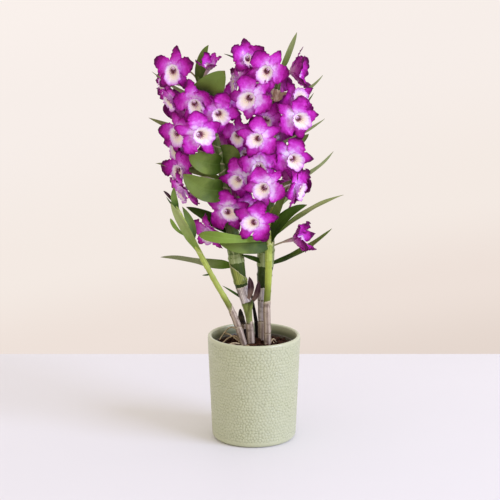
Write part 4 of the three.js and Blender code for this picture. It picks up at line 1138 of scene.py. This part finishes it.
def stem_radius(name, z):
    """The stem swells at its node rings and is drawn in just above them."""
    base = np.interp(z, *zip(*CANES[name]["radius"]))
    off = z[:, None] - node_heights(name)[None]
    ring = np.exp(-((off / SWELL_REACH) ** 2)).sum(1)
    waist = np.exp(-(((off - WAIST_UP) / WAIST_REACH) ** 2)).sum(1)
    return base * (1 + SWELL * ring - WAIST * waist)


def stem_frames(name, z):
    centres = on_cane(name, z)
    return centres, *frames_along(centres, (1, 0, 0))


def add_stem(piece, name, random):
    """A stem with faint flutes, closing in to a rounded top."""
    z = np.arange(STEM_FOOT, cane_top(name) + 0.1, STEM_STEP)
    radius = stem_radius(name, z)
    radius[-len(STEM_TOP) :] *= STEM_TOP
    flute = 0.018 * np.sin(stem_angles * 7 + random.uniform(0, 6)) + 0.012 * np.sin(stem_angles * 12)
    rings = ring_points(*stem_frames(name, z), radius[:, None] * (1 + flute), stem_angles)
    piece.tube(rings, name, v=z / STREAK_HEIGHT)


def add_sheath(piece, name, low, high, finish, slant, facing, random, lift=SHEATH_LIFT, ragged=SHEATH_TORN):
    """A papery sleeve round a stem. Its top is slant above high on the facing side and below it opposite."""
    a = stem_angles
    torn = random.uniform(-1, 1, (2, AROUND)) * ragged
    bottom = low + torn[0]
    top = high + slant * np.cos(a - np.radians(facing)) + torn[1]
    share = ease(-1, 1, np.linspace(-1, 1, SHEATH_ROWS))[:, None]
    z = bottom + (top - bottom) * share
    grid = np.arange(STEM_FOOT, cane_top(name) + 1.0, 1.0)
    centres, sides, fronts = stem_frames(name, grid)

    def at(table):
        return np.stack([np.interp(z, grid, table[:, k]) for k in range(3)], -1)

    phase = random.uniform(0, 6, 3)
    wrinkle = 0.06 * np.sin(a * 9 + phase[0]) + 0.05 * np.sin(a * 14 + phase[1]) * np.sin(z / 5 + phase[2])
    radius = np.interp(z, grid, stem_radius(name, grid)) + lift + wrinkle
    radius = radius + SHEATH_FLARE * (ease(0.8, 1.0, share) + 0.5 * ease(0.1, 0.0, share))
    way = np.cos(a)[:, None] * at(sides) + np.sin(a)[:, None] * at(fronts)
    outer = at(centres) + way * radius[..., None]
    level = z.mean(1) / STREAK_HEIGHT
    v = np.concatenate([level, level[::-1], level[:1]])
    up = share[:, 0]
    rows = np.concatenate([outer, (outer - way * SHEATH_LIFT)[::-1]])
    piece.ring_solid(rows, finish, v, np.concatenate([up, up[::-1]]))


def add_leaf(piece, cane, leaf, random):
    """A folded leaf with a thicker midrib, waved along its edges."""
    height, tip, bow, width, look, tint = leaf
    base, tip = on_cane(cane, height), np.array(tip, float)
    middle = (base + tip) / 2 + 2 * np.array(bow, float)
    t = 1 - (1 - np.linspace(0, 1, LEAF_STATIONS)) ** 1.25
    centres = bezier([base, middle, tip], t)
    tangents = unit(np.gradient(centres, axis=0))
    sides = unit(np.cross(tangents, unit(np.array(look, float))))
    normals = np.cross(sides, tangents)
    halves = through(LEAF_SHAPES.get(tint, LEAF_SHAPES["plain"]), t) * width / 2
    if tint == "tailed":
        centres = centres - sides * (TAIL_SWAY * np.sin(2 * math.pi * t) * t)[:, None]
    phase = random.uniform(0, 2 * math.pi, 3)
    reach = np.linalg.norm(tip - base)

    def lift(s, i):
        fold = halves[i] * LEAF_FOLD * (np.sqrt(s**2 + 0.015) - 0.12)
        turn = 2 * math.pi * t[i] * reach / LEAF_WAVE_LENGTH
        wave = LEAF_WAVE * width * np.sin(turn + phase[0] + s)
        return fold + wave * s**2 * ease(0.05, 0.3, t[i]) * (1 - 0.6 * t[i])

    def thick(s, i):
        rib = LEAF_RIB * np.exp(-((s / 0.12) ** 2)) * (1 - t[i])
        return (LEAF_THICK + rib) * (1 - s**4) * (0.45 + 0.55 * ease(1.02, 0.85, t[i]))

    add_blade(piece, (centres, sides, normals), halves, lift, thick, (tint, tint + "_under"), t)


def add_leaf_sheath(piece, cane, leaf, random):
    """The sleeve below a leaf, highest on the side that the leaf leaves from."""
    height, tip = leaf[:2]
    out = np.array(tip, float) - on_cane(cane, height)
    facing = math.degrees(math.atan2(-out[1], out[0]))
    low = height - CANES[cane]["internode"] * LEAF_SHEATH["reach"]
    look, slant, torn = CANES[cane]["sheath"], LEAF_SHEATH["slant"], LEAF_SHEATH["torn"]
    add_sheath(piece, cane, low, height + 1, look, slant, facing, random, ragged=torn)


def add_rod(piece, points, radii, finish, count=24, sides=12):
    """A round rod through points, its radius given by (share of length, radius) pairs."""
    line = spline(points, count)
    share = np.linspace(0, 1, count)
    rings = ring_points(line, *frames_along(line, (0.3, 0.2, 1)), through(radii, share), round_angles(sides))
    piece.tube(rings, finish, v=share)


def add_root(piece, points, random, thick):
    """A lumpy root that thins to its tip."""
    share = np.linspace(0, 1, 21)
    lumps = 1 + 0.08 * np.sin(share * 40 + random.uniform(0, 6)) + 0.05 * np.sin(share * 93)
    radii = thick * (1 - 0.37 * share) * lumps
    radii[-1] = 0.3
    add_rod(piece, points, list(zip(share, radii)), "root", count=40)


def make_cane(name):
    """A stem with its sleeves, its leaves and what else grows from it."""
    random = np.random.default_rng(SEED + 10 + list(CANES).index(name))
    piece = Piece(name + "_grown")
    add_stem(piece, name, random)
    for sheath in SHEATHS.get(name, []):
        lift = KHAKI_LIFT if "khaki_sheath" in sheath else SHEATH_LIFT
        add_sheath(piece, name, *sheath, random, lift=lift)
    for leaf in LEAVES.get(name, []):
        add_leaf(piece, name, leaf, random)
        if leaf[0] > BARE_BELOW and leaf[-1] not in DRY:
            add_leaf_sheath(piece, name, leaf, random)
    if name == "cane_left":
        for root in ROOTS:
            add_root(piece, root, random, thick=ROOT_THICK)
    if name == "cane_centre":
        add_rod(piece, SHOOT, SHOOT_RADII, "cane_centre")
    piece.make(name, slot=CANES[name]["slot"])


# ---- blooms ----


def bloom_frame(row):
    """The bloom's own axes: face looks out of it, up to its top sepal, right completes them."""
    x, y, z, yaw, pitch, roll, size, cane, *closed = row
    a, b, c = (math.radians(d) for d in (yaw, pitch, roll))
    face = vec(math.sin(a) * math.cos(b), -math.cos(a) * math.cos(b), math.sin(b))
    level = vec(math.cos(a), math.sin(a), 0)
    up = np.cross(face, level) * math.cos(c) + level * math.sin(c)
    heart = vec(x, y, z) - face * LIP["forward"] * size + up * LIP["drop"] * size
    return {"heart": heart, "face": face, "up": up, "right": np.cross(up, face), "size": size, "cane": cane,
            "closed": closed[0] if closed else 0}


def ray(bloom, degrees):
    return bloom["right"] * math.cos(math.radians(degrees)) + bloom["up"] * math.sin(math.radians(degrees))


def tepal_spine(bloom, tepal, bend, t):
    """Points, side and normals of a tepal's spine at stations t, bent and swung as its solid is."""
    more, swing = bend
    out = ray(bloom, tepal["angle"] + swing)
    side = np.cross(bloom["face"], out)
    first = tepal["rise"] + bloom["closed"] + more * BEND_FOOT
    turn = tepal["sweep"] + more * BEND_ON

    def heading(at):
        lift = np.radians(first + turn * np.asarray(at, float))
        return np.cos(lift)[..., None] * out + np.sin(lift)[..., None] * bloom["face"]

    steps = 12
    t = np.asarray(t, float)
    middles = (np.arange(steps) + 0.5) / steps
    travel = heading(t[:, None] * middles).sum(1) * (tepal["length"] * bloom["size"] * t / steps)[:, None]
    points = bloom["heart"] + ray(bloom, tepal["angle"]) * HEART_RADIUS * bloom["size"] + travel
    return points, side, -np.cross(side, heading(t))


def corner_points(bloom, tepal, bend):
    """The corners that a tepal's solid has past its root, for one way of bending."""
    stations = [t for t, _ in tepal["rows"]]
    points, side, normals = tepal_spine(bloom, tepal, bend, [*stations, 1.0])
    half_thick = PETAL_THICK / 2
    made = [points[-1] + normals[-1] * half_thick, points[-1] - normals[-1] * half_thick]
    for i, (_, share) in enumerate(tepal["rows"]):
        half = tepal["width"] / 2 * bloom["size"] * share
        ripple = tepal["wave"] * (-1 if i % 2 else 1)
        for j in tepal["across"]:
            lift = 0 if j == 0 else tepal["cup"] + j * ripple
            middle = points[i] + side * j * half + normals[i] * lift
            made += [middle + normals[i] * half_thick, middle - normals[i] * half_thick]
    return made


def stalk_points(bloom, shift, elbow, t):
    """Points of a stalk's line, from the heart back to the node of the stem that it leaves."""
    heart, size, cane = bloom["heart"], bloom["size"], bloom["cane"]
    nodes = node_heights(cane)
    node = nodes[np.argmin(np.abs(nodes - (heart[2] - STALK["drop"])))]
    foot = on_cane(cane, node + shift)
    bend = heart - bloom["face"] * STALK["reach"] * size
    bend = bend + (foot - bend) * 0.2 + np.array(elbow, float)
    return bezier([heart, bend, (bend + foot) / 2, foot], t)


def solid_points(node):
    """The corners of a node's solid, ready to be searched."""
    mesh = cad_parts[node].data
    tree = kdtree.KDTree(len(mesh.vertices))
    for k, vertex in enumerate(mesh.vertices):
        tree.insert(vertex.co / MM, k)
    tree.balance()
    return tree


def read_bends(bloom, tree):
    """How each tepal of a bloom's solid bends: the way whose corners the solid has."""
    found = []
    for tepal in TEPALS:
        hits = []
        for bend in BENDS:
            corners = corner_points(bloom, tepal, bend)
            hits.append(sum(tree.find(corner)[2] < SAME_PLACE for corner in corners))
        found.append(BENDS[int(np.argmax(hits))])
    return found


def read_stalk(bloom, tree):
    """How a bloom's stalk runs: the way whose rings the solid has."""
    stations = [0.32, 0.65]
    best, most = None, -1
    for shift in SHIFTS:
        for elbow in ELBOWS:
            hits = 0
            for centre in stalk_points(bloom, shift, elbow, stations):
                near = [far for _, _, far in tree.find_n(centre, STALK_SIDES)]
                hits += sum(abs(far - STALK["stem"]) < SAME_RADIUS for far in near)
            if hits > most:
                best, most = (shift, elbow), hits
    return best


def tepal_outline(tepal, t, point):
    """Width of a tepal along its length, as a share of its widest; point sharpens its tip."""
    swell, root = tepal["swell"], tepal["root"]
    rising = root + (1 - root) * np.sin(np.clip(t / swell, 0, 1) * math.pi / 2) ** tepal["rising"]
    past = np.clip((t - swell) / (1 - swell), 0, 1)
    closing = np.sqrt(np.clip(1 - past**2.2, 0, 1)) ** point
    return np.where(t < swell, rising, closing)


def add_tepal(piece, bloom, tepal, bend, random, depth):
    """A petal or sepal along its solid's spine, with its own curl, twist, width, ruffles and folds."""
    size = bloom["size"]
    t = 1 - (1 - np.linspace(0, 1, tepal["stations"])) ** 1.5
    t[0] = -0.06
    points, side, normals = tepal_spine(bloom, tepal, bend, t * PAST_SOLID)
    curl = random.uniform(*CURL) * size
    points = points + normals * (curl * np.clip((t - 0.55) / 0.45, 0, 1) ** 2)[:, None]
    twist = (random.uniform(*TWIST) * np.clip(t, 0, 1))[:, None]
    sides = np.cos(twist) * side + np.sin(twist) * normals
    normals = np.cos(twist) * normals - np.sin(twist) * side
    phase = random.uniform(0, 2 * math.pi, 5)
    point = random.uniform(*tepal["point"])
    wobble = 1 + 0.06 * np.sin(t * 9 + phase[0]) + 0.05 * np.sin(t * 33 + phase[1])
    widest = tepal["width"] / 2 * size * random.uniform(*tepal["widen"])
    halves = tepal_outline(tepal, np.maximum(t, 0), point) * widest * wobble
    halves[-1] = 0.3
    points = points + sides * (0.12 * halves * np.sin(t * 8 + phase[4]))[:, None]
    fold = random.uniform(*FOLD, 2) * size

    def lift(s, i):
        way = np.where(s < 0, phase[2], phase[3])
        wave = np.sin(t[i] * 21 + way) * 0.6 + np.sin(t[i] * 37 + 2 * way) * 0.4
        crease = -0.5 * np.exp(-((s / 0.12) ** 2))
        window = ease(0.0, 0.35, t[i]) * ease(1.05, 0.9, t[i])
        bowl = (tepal["bowl"] + np.where(s < 0, fold[0], fold[1])) * s**2
        return (bowl + crease + tepal["ruffle"] * size * wave * np.abs(s) ** 2.5) * window

    def thick(s, i):
        return np.maximum(PETAL_THICK * (1 - s**4), 0) * (0.5 + 0.5 * ease(1.05, 0.7, t[i]))

    depth += random.uniform(*TONE)
    finishes = ("petal", "petal_back")
    add_blade(piece, (points, sides, normals), halves, lift, thick, finishes, np.clip(t, 0, 1), depth)


def add_lip(piece, bloom, random):
    """The lip: a bell that opens forward from the heart to a frilled oval mouth, with its throat inside."""
    size, face, up, right, heart = (bloom[k] for k in ("size", "face", "up", "right", "heart"))
    lean = math.radians(LIP["tilt"])
    axis = face * math.cos(lean) - up * math.sin(lean)
    upright = up * math.cos(lean) + face * math.sin(lean)
    mouth = heart + face * LIP["forward"] * size - up * LIP["drop"] * size
    throat = heart + face * THROAT["depth"] * size - up
    root = heart + face * HEART_HALF_DEPTH
    widest = LIP["mouth"] * (1 - bloom["closed"] / LIP["shut"])
    angles = round_angles(64, start=-math.pi / 2)
    phase = random.uniform(0, 2 * math.pi, len(FRILL))
    broad, tall = random.uniform(*LIP["broad"]), random.uniform(*LIP["tall"])
    frill = sum(share * np.sin(angles * count + p) for (share, count), p in zip(FRILL, phase))
    lobe = -0.135 * np.sin(angles) + 0.185 * np.sin(angles) ** 2
    spokes = right * (broad * np.cos(angles))[:, None] + upright * (tall * np.sin(angles))[:, None]
    rings, v = [], []

    def ring(centre, radius, ahead, w):
        reach = radius * size * (1 + lobe * w) + FRILL_OUT * w**4 * np.roll(frill, 2)
        forward = np.asarray(ahead + FRILL_AHEAD * size * w**3 * frill)
        rings.append(centre + axis * forward[:, None] + spokes * reach[:, None])

    for w in np.linspace(0, 1, LIP["rows_out"]):
        radius = LIP["foot"] + (widest - LIP["foot"]) * w**1.35
        ring(root + (mouth - root) * w, radius, -0.35 + 0.1 * w, w)
        v.append(1.0)
    for w in np.linspace(1, 0, LIP["rows_in"]):
        dish = 0.9 * math.sin(math.pi * w) * (1 - w)
        radius = THROAT["radius"] + (widest - THROAT["radius"]) * w**0.85
        ring(throat + (mouth - throat) * w, radius, 0.5 * ease(0, 0.2, w) + dish, w)
        v.append(w)
    outside = [["lip_out"] * len(angles)] * (LIP["rows_out"] - 1)
    finish = outside + [["lip"] * len(angles)] * LIP["rows_in"]
    piece.tube(np.array(rings), finish, v=np.array(v))


def add_column(piece, bloom):
    """The column and its anther cap, standing in the throat's upper side."""
    size, face, up, right, heart = (bloom[k] for k in ("size", "face", "up", "right", "heart"))
    angles = round_angles(14)
    tip = heart + face * COLUMN_REACH * size + up * 1.2 * size
    bend = heart + face * 4 * size + up * 2.6 * size
    line = bezier([heart + up * 0.6, bend, tip], np.linspace(0, 1, len(COLUMN_RADII)))
    radii = np.array(COLUMN_RADII) * size
    piece.tube(ring_points(line, *frames_along(line, right), radii, angles), "column")
    add_dome(piece, tip - up * 0.5 * size, bloom, 1.3 * size, 1.2 * size, "anther", angles)


def add_dome(piece, centre, bloom, radius, depth, finish, angles):
    """A rounded button that faces out of the bloom."""
    turns = np.radians(np.linspace(-85, 85, 9))
    centres = centre + bloom["face"] * (np.sin(turns) * depth)[:, None]
    right, up = (np.broadcast_to(bloom[k], centres.shape) for k in ("right", "up"))
    piece.tube(ring_points(centres, right, up, np.cos(turns) * radius, angles), finish)


def add_stalk(piece, bloom, way):
    """The stalk of a bloom, ribbed, with its swollen neck behind the heart."""
    t = np.linspace(0, 1, 22)
    line = stalk_points(bloom, *way, t)
    size = bloom["size"]
    neck = [(share, radius * size) for share, radius in NECK]
    radii = through([*neck, (0.3, STALK["stem"]), (0.9, 1.15), (1, 1.7)], t)
    angles = round_angles(12)
    radii = radii[:, None] * (1 + 0.06 * np.cos(6 * angles))
    piece.tube(ring_points(line, *frames_along(line, bloom["right"]), radii, angles), "stalk", v=t)


def make_bloom(number, row):
    """One bloom: five tepals, the lip, the column, the back of the heart and the stalk."""
    node = f"bloom_{number:02d}"
    random = np.random.default_rng(SEED * 100 + number)
    bloom = bloom_frame(row)
    tree = solid_points(node)
    piece = Piece(f"flower_{number:02d}")
    # a random tone for the bloom, plus painted shade that deepens the blooms at the back of the cluster
    depth = random.uniform(*BLOOM_TONE) + PAINTED_SHADE_BACK * float(ease(*PAINTED_SHADE_SPAN, row[1]))
    for tepal, bend in zip(TEPALS, read_bends(bloom, tree)):
        add_tepal(piece, bloom, tepal, bend, random, depth)
    add_lip(piece, bloom, random)
    add_column(piece, bloom)
    size = bloom["size"]
    add_dome(piece, bloom["heart"], bloom, 4.6 * size, 1.9 * size, "lip_out", round_angles(20))
    add_stalk(piece, bloom, read_stalk(bloom, tree))
    piece.make(node, slot="petal")


def make_bud():
    piece = Piece("closed_bud")
    add_rod(piece, BUD_STALK, BUD_STALK_RADII, "stalk", count=40)
    add_rod(piece, BUD, BUD_RADII, "petal_back", sides=24)
    piece.make(slot="petal")


# ---- the whole plant ----

make_camera()
make_table()
make_wall()
make_window()
make_pot()
make_liner()
make_medium()
for name in CANES:
    make_cane(name)
for number, row in enumerate(BLOOMS, 1):
    make_bloom(number, row)
make_bud()
